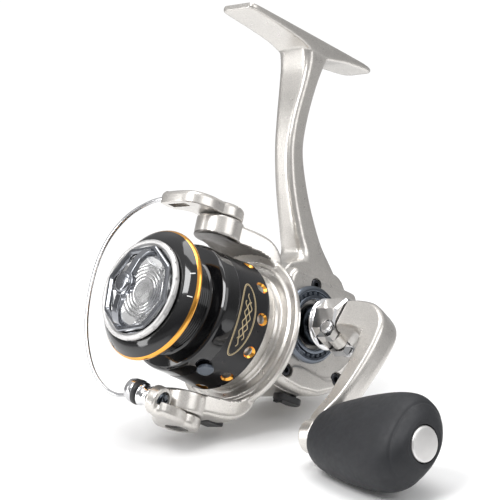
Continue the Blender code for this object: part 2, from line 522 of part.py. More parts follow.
# ---------------------------------------------------------------- spool
spool = lathe([(2.2, -20.5), (11.9, -20.5), (11.9, -28.6), (12.6, -29.2), (14.9, -29.0), (17.6, -27.0), (18.3, -26.3), (LIP_R, -25.8), (18.3, -25.2),
               (17.6, -24.9), (14.4, -23.9), (ARBOR_R, -23.1), (ARBOR_R, -17.3), (14.4, -16.7), (17.3, -16.0), (18.05, -15.1), (SKIRT_R, -14.0), (18.3, -4.0), (18.7, 0.5), (18.6, 1.0), (18.0, 1.0),
               (17.65, -3.0), (17.6, -14.2), (12.0, -14.8), (12.0, -18.6), (5.5, -18.6), (5.5, -10.2), (2.2, -10.2)], seg=24)
for i in range(HOLES):
    a = math.radians(360 / HOLES * i + 1)
    d = Vector((math.cos(a), 0, math.sin(a)))
    spool = cut(spool, sweep([tuple(d * 16 + Vector((0, -1.5, 0))), tuple(d * 20 + Vector((0, -1.5, 0)))], 1.5, 6))
finish(spool, "spool", BLACK)
a = math.radians(-59)
clip = box((-2.0, -2.4, 18.85), (2.0, 2.4, 19.7))
clip = bevel(clip, 0.9, lambda m, ang: abs(abs(m.x) - 2.0) < 0.01 and abs(abs(m.y) - 2.4) < 0.01 and ang > 60, 2)
clip = place(clip, Matrix.Translation((0, -10.2, 0)) @ Matrix.Rotation(math.radians(90 + 59), 4, "Y"))
finish(clip, "line_clip", PLASTIC, (18.9 * math.cos(a), -10.2, 18.9 * math.sin(a)))
click = []
for i in range(12):
    for r, da in ((7.6, -10), (8.4, 0), (7.6, 10)):
        b = math.radians(30 * i + da)
        click.append((r * math.cos(b), r * math.sin(b)))
click = prism(click, "Y", -13.4, -12.2)
finish(cut(click, disc(5.8, -15, -10, seg=20)), "click_gear", PLASTIC)

# ---------------------------------------------------------------- drag knob
KNOB_Y = -30.2
dk = lathe([(2.2, -24.6), (9.8, -24.6), (10.8, -25.4), (10.8, -28.6), (11.4, -29.5), (13.9, -29.5), (14.25, -29.9), (14.25, -30.8), (13.8, -31.3), (13.1, -31.3),
            (12.5, -30.6), (10.6, -30.2), (8.6, -29.6), (8.4, -29.1), (0, -29.1), (0, -28.2), (4.3, -28.2), (4.3, -26.2), (2.2, -26.2)], seg=20)
finish(dk, "drag_knob", CHROME)
nut = prism([(3.7 * math.cos(math.radians(a)), 3.7 * math.sin(math.radians(a))) for a in range(0, 360, 60)], "Y", -27.9, -26.5)
nut = cut(nut, disc(1.9, -30, -26, seg=14))
finish(nut, "drag_nut", STEEL)
spring = [(3.2 * math.cos(b), -24.2 + 0.9 * i / 24, 3.2 * math.sin(b)) for i, b in ((i, 2 * math.pi * 1.6 * i / 24) for i in range(25))]
finish(sweep(spring, 0.22, 4), "drag_spring", STEEL)
FRAME_R = 11.7
oct_out = [(FRAME_R / math.cos(math.radians(22.5)) * math.cos(math.radians(c)), FRAME_R / math.cos(math.radians(22.5)) * math.sin(math.radians(c))) for c in range(0, 360, 45)]
oct_in = [(0.86 * x, 0.86 * z) for x, z in oct_out]
trim = cut(prism(oct_out, "Y", -32.1, -31.0), prism(oct_in, "Y", -34, -30))
bridge = prism([(-11.3, -31.2), (-10.6, -34.0), (-7.6, -35.9), (-3.0, -36.7), (3.0, -36.7), (7.6, -35.9), (10.6, -34.0), (11.3, -31.2), (9.7, -31.2), (9.0, -33.2), (6.6, -34.6), (-6.6, -34.6), (-9.0, -33.2), (-9.7, -31.2)], "Z", -1.3, 1.3)
trim = fuse(trim, bridge, disc(2.7, -37.6, -34.9, seg=20, ch=0.4))
trim = place(trim, Matrix.Rotation(math.radians(-(90 - 17.5)), 4, "Y"))
finish(trim, "drag_knob_trim", DARK)
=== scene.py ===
import json
import math
import bpy
import bmesh
from mathutils import Vector, Matrix


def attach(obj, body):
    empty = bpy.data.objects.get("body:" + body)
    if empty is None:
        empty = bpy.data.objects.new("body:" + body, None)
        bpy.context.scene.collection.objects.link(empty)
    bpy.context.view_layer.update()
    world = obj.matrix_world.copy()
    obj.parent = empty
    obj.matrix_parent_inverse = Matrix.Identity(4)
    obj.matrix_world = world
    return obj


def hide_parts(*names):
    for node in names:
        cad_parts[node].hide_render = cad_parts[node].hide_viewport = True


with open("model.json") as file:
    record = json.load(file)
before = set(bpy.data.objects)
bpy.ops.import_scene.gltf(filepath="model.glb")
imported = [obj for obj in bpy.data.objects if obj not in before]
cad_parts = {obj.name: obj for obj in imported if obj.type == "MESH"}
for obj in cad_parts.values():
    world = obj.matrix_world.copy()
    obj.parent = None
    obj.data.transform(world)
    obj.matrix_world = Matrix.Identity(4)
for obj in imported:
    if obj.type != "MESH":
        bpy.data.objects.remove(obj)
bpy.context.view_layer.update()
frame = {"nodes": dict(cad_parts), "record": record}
NODES = frame["nodes"]

# ---------------------------------------------------------------- camera
cam_data = bpy.data.cameras.new("camera")
cam_data.lens = 197.786
cam_data.sensor_width = 36.0
cam_data.clip_start, cam_data.clip_end = 0.01, 20
cam = bpy.data.objects.new("camera", cam_data)
bpy.context.scene.collection.objects.link(cam)
RIGHT = Vector((0.70593234, 0.68020103, 0.19744893))
UP = Vector((0.0411157, -0.31765752, 0.94731368))
BACK = Vector((0.70708488, -0.66062111, -0.25221166))
CAM_AT = Vector((0.543918, -0.510571, -0.258809))
cam.matrix_world = Matrix(((RIGHT.x, UP.x, BACK.x, CAM_AT.x), (RIGHT.y, UP.y, BACK.y, CAM_AT.y), (RIGHT.z, UP.z, BACK.z, CAM_AT.z), (0, 0, 0, 1)))
bpy.context.scene.camera = cam

# ---------------------------------------------------------------- driving dimensions, in mm (spool axis = Y through the origin)
MM = 0.001
SEAT_TO_AXIS, FOOT_MID = 88.4, 8.6
FOOT_FRONT, FOOT_REAR = -17.7, 34.9
LIP_R, SKIRT_R, ARBOR_R, RIM_R = 18.45, 18.2, 13.5, 22.5
ARM_IN, ARM_OUT, PIVOT_Y = 22.3, 27.6, -7.0
CRANK_Y, CRANK_Z = 22.9, 6.6
CRANK_ANGLE, THROW, KNOB_X, KNOB_TILT = math.radians(-20.3), 38.3, 36.2, math.radians(3.0)
BOSS = (0, CRANK_Y, CRANK_Z)
HOLES = 12


# ---------------------------------------------------------------- mesh helpers (all in mm)
def to_object(bm):
    bmesh.ops.recalc_face_normals(bm, faces=bm.faces)
    mesh = bpy.data.meshes.new("tmp")
    bm.to_mesh(mesh)
    bm.free()
    ob = bpy.data.objects.new("tmp", mesh)
    bpy.context.scene.collection.objects.link(ob)
    return ob


def from_rings(rings, closed=False):
    bm = bmesh.new()
    made = [[bm.verts.new(p) for p in ring] for ring in rings]
    pairs = list(zip(made[:-1], made[1:]))
    if closed:
        pairs.append((made[-1], made[0]))
    for a, b in pairs:
        n = max(len(a), len(b))
        for i in range(n):
            j = (i + 1) % n
            if len(a) == 1 and len(b) == 1:
                continue
            if len(a) == 1:
                bm.faces.new((a[0], b[j], b[i]))
            elif len(b) == 1:
                bm.faces.new((a[i], a[j], b[0]))
            else:
                bm.faces.new((a[i], a[j], b[j], b[i]))
    if not closed:
        for ring in (made[0], made[-1]):
            if len(ring) > 2:
                bm.faces.new(ring)
    return to_object(bm)


def soften(points, r, steps=3, loop=False, axis=False):
    """Round the corners of a polyline of (u, v) points with radius-like length r."""
    n = len(points)
    out = []
    for i, p in enumerate(points):
        if (not loop and i in (0, n - 1)) or (axis and p[0] < 1e-6):
            out.append(p)
            continue
        a, b = points[(i - 1) % n], points[(i + 1) % n]
        va, vb = (a[0] - p[0], a[1] - p[1]), (b[0] - p[0], b[1] - p[1])
        la, lb = math.hypot(*va), math.hypot(*vb)
        if la < 1e-6 or lb < 1e-6:
            out.append(p)
            continue
        turn = math.degrees(math.acos(max(-1, min(1, (va[0] * vb[0] + va[1] * vb[1]) / la / lb))))
        if turn > 172:
            out.append(p)
            continue
        k = min(r, 0.42 * la, 0.42 * lb)
        s = (p[0] + va[0] / la * k, p[1] + va[1] / la * k)
        e = (p[0] + vb[0] / lb * k, p[1] + vb[1] / lb * k)
        for j in range(steps + 1):
            t = j / steps
            out.append(tuple((1 - t) ** 2 * s[m] + 2 * t * (1 - t) * p[m] + t * t * e[m] for m in (0, 1)))
    return out


def lathe(profile, axis="Y", centre=(0, 0, 0), seg=96, r=0.2, turn=0.0):
    on_axis = profile[0][0] < 1e-6 and profile[-1][0] < 1e-6
    if r:
        profile = soften(profile, r, loop=not on_axis, axis=True)
    rings = []
    for rad, a in profile:
        ring = []
        for i in range(1 if rad < 1e-6 else seg):
            t = turn + 2 * math.pi * i / seg
            u, v = rad * math.cos(t), rad * math.sin(t)
            p = {"X": (a, u, v), "Y": (u, a, v), "Z": (u, v, a)}[axis]
            ring.append((p[0] + centre[0], p[1] + centre[1], p[2] + centre[2]))
        rings.append(ring)
    return from_rings(rings, closed=not on_axis)


def disc(r, a0, a1, axis="Y", centre=(0, 0, 0), seg=48, turn=0.0, ch=0.0):
    return lathe([(0, a0), (r, a0), (r, a1), (0, a1)], axis, centre, seg, ch, turn)


def ring(r0, r1, a0, a1, axis="Y", centre=(0, 0, 0), seg=64, r=0.15):
    return lathe([(r0, a0), (r1, a0), (r1, a1), (r0, a1)], axis, centre, seg, r)


def prism(outline, axis, a0, a1):
    put = {"X": lambda u, v, a: (a, u, v), "Y": lambda u, v, a: (u, a, v), "Z": lambda u, v, a: (u, v, a)}[axis]
    return from_rings([[put(u, v, a0) for u, v in outline], [put(u, v, a1) for u, v in outline]])


def domed(outline, axis, a0, a1, edge0, edge1, steps=4):
    """Prism whose two end edges are rounded over: the outline shrinks towards its centre near the ends."""
    put = {"X": lambda u, v, a: (a, u, v), "Y": lambda u, v, a: (u, a, v), "Z": lambda u, v, a: (u, v, a)}[axis]
    n = len(outline)
    area = sum(outline[i][0] * outline[(i + 1) % n][1] - outline[(i + 1) % n][0] * outline[i][1] for i in range(n))
    sg = 1 if area > 0 else -1

    def shrink(d):
        res = []
        for i in range(n):
            p, a, b = outline[i], outline[i - 1], outline[(i + 1) % n]
            tx, ty = b[0] - a[0], b[1] - a[1]
            m = math.hypot(tx, ty) or 1
            res.append((p[0] - sg * ty / m * d, p[1] + sg * tx / m * d))
        return res
    rings = []
    if edge0:
        for i in range(steps):
            t = math.pi / 2 * i / steps
            rings.append([put(u, v, a0 + edge0 * (1 - math.sin(t))) for u, v in shrink(edge0 * (1 - math.cos(t)))][::1])
        rings = [[put(u, v, a0 + edge0 * (1 - math.cos(math.pi / 2 * i / steps))) for u, v in shrink(edge0 * (1 - math.sin(math.pi / 2 * i / steps)))] for i in range(steps)]
    rings.append([put(u, v, a0 + edge0) for u, v in outline])
    rings.append([put(u, v, a1 - edge1) for u, v in outline])
    if edge1:
        rings += [[put(u, v, a1 - edge1 * (1 - math.sin(math.pi / 2 * i / steps))) for u, v in shrink(edge1 * (1 - math.cos(math.pi / 2 * i / steps)))] for i in range(1, steps + 1)]
    return from_rings(rings)


def box(lo, hi):
    return prism([(lo[0], lo[1]), (hi[0], lo[1]), (hi[0], hi[1]), (lo[0], hi[1])], "Z", lo[2], hi[2])


def spline(points, steps, loop=False):
    pts = [Vector(p) for p in points]
    if loop:
        pts = [pts[-1]] + pts + pts[:2]
    else:
        pts = [2 * pts[0] - pts[1]] + pts + [2 * pts[-1] - pts[-2]]
    out = []
    for i in range(1, len(pts) - 2):
        a, b, c, d = pts[i - 1:i + 3]
        for s in range(steps):
            t = s / steps
            out.append(0.5 * (2 * b + (c - a) * t + (2 * a - 5 * b + 4 * c - d) * t * t + (3 * b - a - 3 * c + d) * t ** 3))
    if not loop:
        out.append(pts[-2])
    return [tuple(p) for p in out]


def sweep(path, radius, seg=16):
    pts = [Vector(p) for p in path]
    radii = radius if isinstance(radius, (list, tuple)) else [radius] * len(pts)
    normal = None
    rings = []
    for i, p in enumerate(pts):
        d = (pts[min(i + 1, len(pts) - 1)] - pts[max(i - 1, 0)]).normalized()
        if normal is None:
            normal = d.orthogonal().normalized()
        normal = (normal - d * normal.dot(d)).normalized()
        other = d.cross(normal)
        rings.append([tuple(p + (normal * math.cos(2 * math.pi * k / seg) + other * math.sin(2 * math.pi * k / seg)) * radii[i]) for k in range(seg)])
    return from_rings(rings)


def solve(a, b, kind):
    mod = a.modifiers.new("op", "BOOLEAN")
    mod.operation = kind
    mod.solver = "EXACT"
    mod.object = b
    bpy.context.view_layer.update()
    result = bpy.data.meshes.new_from_object(a.evaluated_get(bpy.context.evaluated_depsgraph_get()))
    a.modifiers.clear()
    a.data = result
    bpy.data.objects.remove(b, do_unlink=True)
    return a


def cut(a, *tools):
    for b in tools:
        a = solve(a, b, "DIFFERENCE")
    return a


def fuse(a, *tools):
    for b in tools:
        a = solve(a, b, "UNION")
    return a


def join(a, *others):
    """Put other closed meshes into a, with no boolean."""
    bm = bmesh.new()
    bm.from_mesh(a.data)
    for o in others:
        bm.from_mesh(o.data)
        bpy.data.objects.remove(o, do_unlink=True)
    bm.to_mesh(a.data)
    bm.free()
    return a


def cast(ob, voxel, smooth=4, keep=None):
    """Melt overlapping solids into one casting with soft fillets."""
    m = ob.modifiers.new("remesh", "REMESH")
    m.mode = "VOXEL"
    m.voxel_size = voxel
    m.adaptivity = 0.0
    if smooth:
        s = ob.modifiers.new("smooth", "SMOOTH")
        s.factor, s.iterations = 0.5, smooth
    if keep:
        d = ob.modifiers.new("thin", "DECIMATE")
        d.ratio = keep
    bpy.context.view_layer.update()
    mesh = bpy.data.meshes.new_from_object(ob.evaluated_get(bpy.context.evaluated_depsgraph_get()))
    ob.modifiers.clear()
    ob.data = mesh
    return ob


def place(ob, matrix):
    ob.data.transform(matrix)
    if matrix.determinant() < 0:
        ob.data.flip_normals()
    return ob


def piece(ob, name, body, mats, replaces=(), sharp=38, pick=None, weighted=True):
    """Finish a mesh made in mm: to the row's frame, shading, materials, body and slot."""
    ob.data.materials.clear()
    for m in (mats if isinstance(mats, (list, tuple)) else [mats]):
        ob.data.materials.append(m)
    bm = bmesh.new()
    bm.from_mesh(ob.data)
    bmesh.ops.remove_doubles(bm, verts=bm.verts, dist=0.0008)
    bmesh.ops.dissolve_degenerate(bm, dist=0.0008, edges=bm.edges)
    bm.normal_update()
    for f in bm.faces:
        f.material_index = pick(f.calc_center_median(), f.normal) if pick else 0
    for v in bm.verts:
        v.co = Vector((v.co.x, v.co.y - FOOT_MID, v.co.z - SEAT_TO_AXIS)) * MM
    bm.to_mesh(ob.data)
    bm.free()
    ob.name = ob.data.name = name
    ob.data.shade_smooth()
    ob.data.set_sharp_from_angle(angle=math.radians(sharp))
    for mod in ob.modifiers:
        if mod.type == "BEVEL":
            mod.width *= MM
    if weighted:
        w = ob.modifiers.new("weighted", "WEIGHTED_NORMAL")
        w.keep_sharp = True
    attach(ob, body)
    if replaces:
        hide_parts(*replaces)
    return ob


# ---------------------------------------------------------------- materials
def finish_material(name, base, rough, metal, dark=0.75, light=1.15, scale=140, rough_span=0.08, bump=0.0, bump_scale=1500, bump_depth=0.00003,
                    flake=0.0, coat=0.0, coat_rough=0.1, turned=None, spec=0.5):
    """Procedural finish: broad and fine colour variation, uneven roughness, and grain, flake or turning marks as relief."""
    m = bpy.data.materials.new(name)
    m.use_nodes = True
    nt = m.node_tree
    n, l = nt.nodes, nt.links
    s = n["Principled BSDF"]
    s.inputs["Metallic"].default_value = metal
    s.inputs["Coat Weight"].default_value = coat
    s.inputs["Coat Roughness"].default_value = coat_rough
    s.inputs["Specular IOR Level"].default_value = spec
    co = n.new("ShaderNodeTexCoord")
    broad = n.new("ShaderNodeTexNoise")
    broad.inputs["Scale"].default_value = scale
    broad.inputs["Detail"].default_value = 4
    l.new(co.outputs["Object"], broad.inputs["Vector"])
    ramp = n.new("ShaderNodeValToRGB")
    ramp.color_ramp.elements[0].position, ramp.color_ramp.elements[1].position = 0.3, 0.7
    ramp.color_ramp.elements[0].color = (*[min(1, c * dark) for c in base], 1)
    ramp.color_ramp.elements[1].color = (*[min(1, c * light) for c in base], 1)
    l.new(broad.outputs["Fac"], ramp.inputs["Fac"])
    colour = ramp.outputs["Color"]
    if flake:
        fine = n.new("ShaderNodeTexVoronoi")
        fine.inputs["Scale"].default_value = 5200
        l.new(co.outputs["Object"], fine.inputs["Vector"])
        bright = n.new("ShaderNodeMapRange")
        bright.inputs["From Min"].default_value, bright.inputs["From Max"].default_value = 0.0, 1.0
        bright.inputs["To Min"].default_value, bright.inputs["To Max"].default_value = 1 - flake, 1 + flake
        sep = n.new("ShaderNodeSeparateColor")
        l.new(fine.outputs["Color"], sep.inputs["Color"])
        l.new(sep.outputs["Red"], bright.inputs["Value"])
        mix = n.new("ShaderNodeVectorMath")
        mix.operation = "SCALE"
        l.new(colour, mix.inputs[0])
        l.new(bright.outputs["Result"], mix.inputs["Scale"])
        colour = mix.outputs["Vector"]
    l.new(colour, s.inputs["Base Color"])
    patch = n.new("ShaderNodeTexNoise")
    patch.inputs["Scale"].default_value = scale * 3.1
    patch.inputs["Detail"].default_value = 5
    l.new(co.outputs["Object"], patch.inputs["Vector"])
    rr = n.new("ShaderNodeMapRange")
    rr.inputs["From Min"].default_value, rr.inputs["From Max"].default_value = 0.3, 0.7
    rr.inputs["To Min"].default_value, rr.inputs["To Max"].default_value = max(0.02, rough - rough_span), rough + rough_span
    l.new(patch.outputs["Fac"], rr.inputs["Value"])
    l.new(rr.outputs["Result"], s.inputs["Roughness"])
    height = None
    if turned:
        # turning marks: fine rings round the given axis point, from the distance to it
        axis, centre = turned
        sepv = n.new("ShaderNodeSeparateXYZ")
        l.new(co.outputs["Object"], sepv.inputs["Vector"])
        pair = {"X": ("Y", "Z"), "Y": ("X", "Z"), "Z": ("X", "Y")}[axis]
        squares = []
        for k, c in zip(pair, centre):
            sub = n.new("ShaderNodeMath")
            sub.operation = "SUBTRACT"
            sub.inputs[1].default_value = c
            l.new(sepv.outputs[k], sub.inputs[0])
            sq = n.new("ShaderNodeMath")
            sq.operation = "POWER"
            sq.inputs[1].default_value = 2
            ab = n.new("ShaderNodeMath")
            ab.operation = "ABSOLUTE"
            l.new(sub.outputs[0], ab.inputs[0])
            l.new(ab.outputs[0], sq.inputs[0])
            squares.append(sq)
        add = n.new("ShaderNodeMath")
        l.new(squares[0].outputs[0], add.inputs[0])
        l.new(squares[1].outputs[0], add.inputs[1])
        root = n.new("ShaderNodeMath")
        root.operation = "SQRT"
        l.new(add.outputs[0], root.inputs[0])
        mul = n.new("ShaderNodeMath")
        mul.operation = "MULTIPLY"
        mul.inputs[1].default_value = 16000
        l.new(root.outputs[0], mul.inputs[0])
        wave = n.new("ShaderNodeMath")
        wave.operation = "SINE"
        l.new(mul.outputs[0], wave.inputs[0])
        height = wave.outputs[0]
    if bump or turned:
        grain = n.new("ShaderNodeTexNoise")
        grain.inputs["Scale"].default_value = bump_scale
        grain.inputs["Detail"].default_value = 3
        l.new(co.outputs["Object"], grain.inputs["Vector"])
        b = n.new("ShaderNodeBump")
        b.inputs["Strength"].default_value = bump if bump else 0.05
        b.inputs["Distance"].default_value = bump_depth
        if height is not None:
            both = n.new("ShaderNodeMath")
            both.operation = "MULTIPLY_ADD"
            both.inputs[1].default_value = 0.5
            l.new(height, both.inputs[0])
            l.new(grain.outputs["Fac"], both.inputs[2])
            l.new(both.outputs[0], b.inputs["Height"])
        else:
            l.new(grain.outputs["Fac"], b.inputs["Height"])
        l.new(b.outputs["Normal"], s.inputs["Normal"])
    return m


row = lambda y, z: ((y - FOOT_MID) * MM, (z - SEAT_TO_AXIS) * MM)
PAINT = finish_material("satin_silver_paint", (0.66, 0.635, 0.60), 0.30, 0.78, dark=0.97, light=1.03, flake=0.10, rough_span=0.03, bump=0.035, bump_scale=2600, bump_depth=0.00002, coat=0.35, coat_rough=0.16)
# a darkened copy of the silver paint: painted shade, laid inside the rotor's cup and on the inner faces of its arms
SILVER_PAINTED_SHADE = finish_material("silver_paint_painted_shade", (0.20, 0.19, 0.18), 0.38, 0.7, dark=0.9, light=1.08, flake=0.08, rough_span=0.04, bump=0.1, bump_scale=2600, bump_depth=0.00002)
GLOSS = finish_material("gloss_black_anodise", (0.0065, 0.0065, 0.0075), 0.10, 0.35, dark=0.9, light=1.1, rough_span=0.02, bump=0.04, bump_scale=900, bump_depth=0.00002, coat=0.8, coat_rough=0.04)
SATIN = finish_material("satin_black_anodise", (0.017, 0.017, 0.019), 0.30, 0.45, dark=0.85, light=1.15, rough_span=0.03, bump=0.10, bump_scale=2800, bump_depth=0.00002, coat=0.25, coat_rough=0.2)
LINED = finish_material("turned_black_arbor", (0.008, 0.008, 0.009), 0.18, 0.5, rough_span=0.04, bump=0.05, bump_scale=2000, coat=0.4, coat_rough=0.08)
GOLD = finish_material("gold_anodise", (0.90, 0.42, 0.07), 0.20, 1.0, dark=0.93, light=1.06, rough_span=0.04, bump=0.05, bump_scale=2200, bump_depth=0.00002, coat=0.3, coat_rough=0.08)
CHROME = finish_material("bright_chrome", (0.86, 0.86, 0.87), 0.07, 1.0, dark=0.97, light=1.03, rough_span=0.025, bump=0.03, bump_scale=700, bump_depth=0.00002)
TURNED = finish_material("turned_bright_metal", (0.80, 0.80, 0.80), 0.15, 1.0, dark=0.95, light=1.05, rough_span=0.04, bump=0.12, bump_scale=1800, bump_depth=0.000012, turned=("Y", (0.0, -SEAT_TO_AXIS * MM)))
TURNED_X = finish_material("turned_dark_ring", (0.16, 0.18, 0.21), 0.20, 1.0, dark=0.85, light=1.15, rough_span=0.05, bump=0.15, bump_scale=1800, bump_depth=0.000012, turned=("X", row(CRANK_Y, CRANK_Z)))
DARK = finish_material("dark_chrome", (0.075, 0.085, 0.10), 0.13, 1.0, dark=0.9, light=1.15, rough_span=0.04, bump=0.05, bump_scale=1200, bump_depth=0.00002, coat=0.2, coat_rough=0.05)
SMOKED = finish_material("smoked_chrome", (0.30, 0.31, 0.335), 0.11, 1.0, dark=0.92, light=1.08, rough_span=0.03, bump=0.04, bump_scale=900, bump_depth=0.00002, coat=0.5, coat_rough=0.05)
DARK_GLOSS = finish_material("dark_gloss_shaft", (0.20, 0.205, 0.21), 0.10, 1.0, dark=0.9, light=1.1, rough_span=0.03, bump=0.04, bump_scale=900, bump_depth=0.00002, coat=0.3, coat_rough=0.04)
STEEL = finish_material("ground_steel", (0.62, 0.62, 0.63), 0.22, 1.0, dark=0.92, light=1.06, rough_span=0.06, bump=0.15, bump_scale=3500, bump_depth=0.000015)
SATIN_STEEL = finish_material("satin_nickel", (0.72, 0.71, 0.70), 0.42, 0.85, dark=0.96, light=1.04, rough_span=0.05, bump=0.2, bump_scale=4200, bump_depth=0.000015)
BRASS = finish_material("machined_brass", (0.72, 0.50, 0.20), 0.26, 1.0, dark=0.88, light=1.08, rough_span=0.06, bump=0.15, bump_scale=3000, bump_depth=0.000015)
ZINC = finish_material("die_cast_zinc", (0.46, 0.46, 0.48), 0.42, 1.0, dark=0.85, light=1.1, rough_span=0.08, bump=0.4, bump_scale=2400, bump_depth=0.00003)
RUBBER = finish_material("soft_charcoal_rubber", (0.0165, 0.0175, 0.0205), 0.58, 0.0, dark=0.86, light=1.16, scale=220, rough_span=0.06, bump=0.55, bump_scale=4200, bump_depth=0.00004, spec=0.42)
PLASTIC = finish_material("moulded_black_plastic", (0.022, 0.022, 0.024), 0.38, 0.0, dark=0.85, light=1.15, rough_span=0.06, bump=0.25, bump_scale=3200, bump_depth=0.00002)
CLIP = finish_material("blue_grey_clip", (0.085, 0.105, 0.135), 0.18, 0.3, dark=0.9, light=1.1, rough_span=0.04, bump=0.08, bump_scale=2500, bump_depth=0.00002, coat=0.5, coat_rough=0.06)
FELT = finish_material("pressed_felt", (0.42, 0.36, 0.26), 0.92, 0.0, dark=0.75, light=1.15, scale=900, rough_span=0.05, bump=0.9, bump_scale=3000, bump_depth=0.00012)
SCREW = finish_material("black_oxide_screw", (0.055, 0.056, 0.062), 0.20, 0.9, dark=0.8, light=1.2, rough_span=0.06, bump=0.12, bump_scale=3000, bump_depth=0.00002)
CREAM = finish_material("cream_print", (0.62, 0.50, 0.30), 0.42, 0.2, dark=0.92, light=1.05, rough_span=0.05, bump=0.08, bump_scale=3500, bump_depth=0.00001)
WHITE = finish_material("white_mark", (0.86, 0.86, 0.84), 0.40, 0.0, dark=0.97, light=1.02, rough_span=0.04, bump=0.06, bump_scale=3500, bump_depth=0.00001)

BY_SLOT = {"silver_paint": PAINT, "black_anodised": SATIN, "bright_chrome": CHROME, "dark_chrome": DARK, "ground_steel": STEEL, "gear_brass": BRASS,
           "gear_zinc": ZINC, "grip_rubber": RUBBER, "black_plastic": PLASTIC, "washer_felt": FELT, "black_screw": SCREW}
for sub in frame["record"]["subparts"]:
    node = NODES[sub["node"]]
    if not node.material_slots:
        node.data.materials.append(None)
    for sl in node.material_slots:
        sl.material = BY_SLOT[sub["material_slot"]]


# ---------------------------------------------------------------- frame: body, cover, trim
HOUSING = [(12.4, -11.6), (24, -12.6), (31, -11.8), (38, -8.4), (43.4, -2.6), (45.4, 4), (44.5, 11), (41.5, 17), (38, 22.5), (34, 25), (20, 25), (15, 22.5), (12.4, 18.5)]
CAVITY = [(14.7, -9.6), (24, -10.6), (31, -9.8), (37, -6.6), (41.6, -1.6), (43.4, 4), (42.6, 10), (39.8, 15.6), (36.2, 20.2), (18, 20.2), (14.7, 17)]
COVER_SCREWS = {"cover_screw_top": (22.5, 18.1), "cover_screw_front": (17.5, -8.2), "cover_screw_rear": (37.3, -5.0)}


def fine_housing(top=None):
    """The housing's side outline with smooth belly and back; straight front and top."""
    belly = spline([(12.4, -11.6, 0), (18, -12.25, 0), (24, -12.6, 0), (31, -11.8, 0), (38, -8.4, 0), (43.4, -2.6, 0), (45.4, 4, 0), (44.5, 11, 0), (41.5, 17, 0)], 6)
    pts = [(p[0], p[1]) for p in belly]
    if top is None:
        pts += [(40.2, 19.6), (38, 22.5), (36.2, 24.1), (34, 25), (20, 25), (15, 22.5), (12.4, 18.5)]
    else:
        pts += [(39.1, top), (13.9, top), (12.4, 18.5)]
    return soften(pts, 1.0, 3, loop=True)


def rounded(cx, cy, wx, wy, r, z, n=6):
    pts = []
    for sx, sy, a0 in ((1, 1, 0), (-1, 1, 90), (-1, -1, 180), (1, -1, 270)):
        for k in range(n + 1):
            a = math.radians(a0 + 90 * k / n)
            pts.append((cx + sx * (wx - r) + r * math.cos(a), cy + sy * (wy - r) + r * math.sin(a), z))
    return pts


def make_body():
    body = domed(fine_housing(), "X", -12.2, 7.9, 3.2, 0.25, 6)
    stem = [(21.0, 16.5, 38.6, 6.9), (24.5, 19.5, 37.4, 6.2), (28.0, 21.6, 34.4, 5.3), (32.7, 19.4, 29.8, 4.5), (40.5, 15.5, 24.2, 3.9), (48.4, 12.2, 19.6, 3.6),
            (56.6, 9.9, 15.9, 3.6), (65.1, 8.9, 14.6, 4.2), (73.8, 8.6, 14.2, 5.3), (80.0, 8.0, 14.8, 6.0), (84.0, 6.4, 16.2, 6.3), (87.2, 3.6, 19.2, 6.3)]
    line = spline([(y0, y1, w) for z, y0, y1, w in stem], 5)
    zs = spline([(z, 0, 0) for z, y0, y1, w in stem], 5)
    rings = []
    for (y0, y1, w), (z, _, _) in zip(line, zs):
        h = (y1 - y0) / 2
        rings.append(rounded(0, (y0 + y1) / 2, w, h, min(w, h) * 0.5, z))
    foot = [(FOOT_FRONT, 86.7, 5.4), (-15.6, 86.5, 6.2), (-5, 86.0, 6.4), (3, 85.2, 6.45), (8, 84.0, 6.45), (14, 83.6, 6.45), (18, 84.4, 6.45), (23, 85.6, 6.4),
            (30, 86.6, 6.2), (33.4, 87.0, 5.4), (FOOT_REAR, 87.3, 3.9)]
    foot = spline(foot, 4)
    top = SEAT_TO_AXIS
    frings = [[(-w, y, z0 + 0.4), (-w + 0.25, y, z0 + 0.1), (-w + 0.9, y, z0), (w - 0.9, y, z0), (w - 0.25, y, z0 + 0.1), (w, y, z0 + 0.4), (w, y, top - 0.35), (w - 0.1, y, top - 0.1),
               (w - 0.4, y, top), (-w + 0.4, y, top), (-w + 0.1, y, top - 0.1), (-w, y, top - 0.35)] for y, z0, w in foot]
    inner = cut(body, prism(CAVITY, "X", -9.7, 9.0))
    body = join(inner, from_rings(rings), from_rings(frings), disc(11.0, 8.7, 12.6, seg=72))
    # the stem and the nose are trimmed out of the hollow by the remesh's own union, then the bores are cut
    body = cast(body, 0.34, 5)
    body = cut(body, prism(CAVITY, "X", -9.6, 6.0), disc(8.6, 8.0, 11.4), disc(6.7, 11.0, 15.3), disc(3.4, -14, -9.0, "X", BOSS))
    body = join(body, ring(6.75, 8.7, 11.9, 14.4), ring(6.45, 7.9, -9.55, -7.2, "X", BOSS))
    for y, z in COVER_SCREWS.values():
        body = join(body, ring(1.2, 2.3, 3.9, 7.8, "X", (0, y, z), 32))
    return body


body = make_body()
# the body takes the silver paint on all its faces; the dark painted-shade copy sits in a second slot that no face uses
piece(body, "body_casting", "frame", [PAINT, SILVER_PAINTED_SHADE], ["body_frame"], sharp=60, weighted=False)

cover = domed(fine_housing(20.8), "X", 8.2, 12.2, 0.1, 1.5, 6)
belt = [(18.6, -7.4, 0), (20.0, -6.2, 0), (23.9, -5.6, 0), (33.0, -6.4, 0), (35.8, -5.2, 0), (40.2, -0.4, 0), (42.6, 3.2, 0)]
pts = soften([(p[0], p[1]) for p in belt], 1.2, 4)
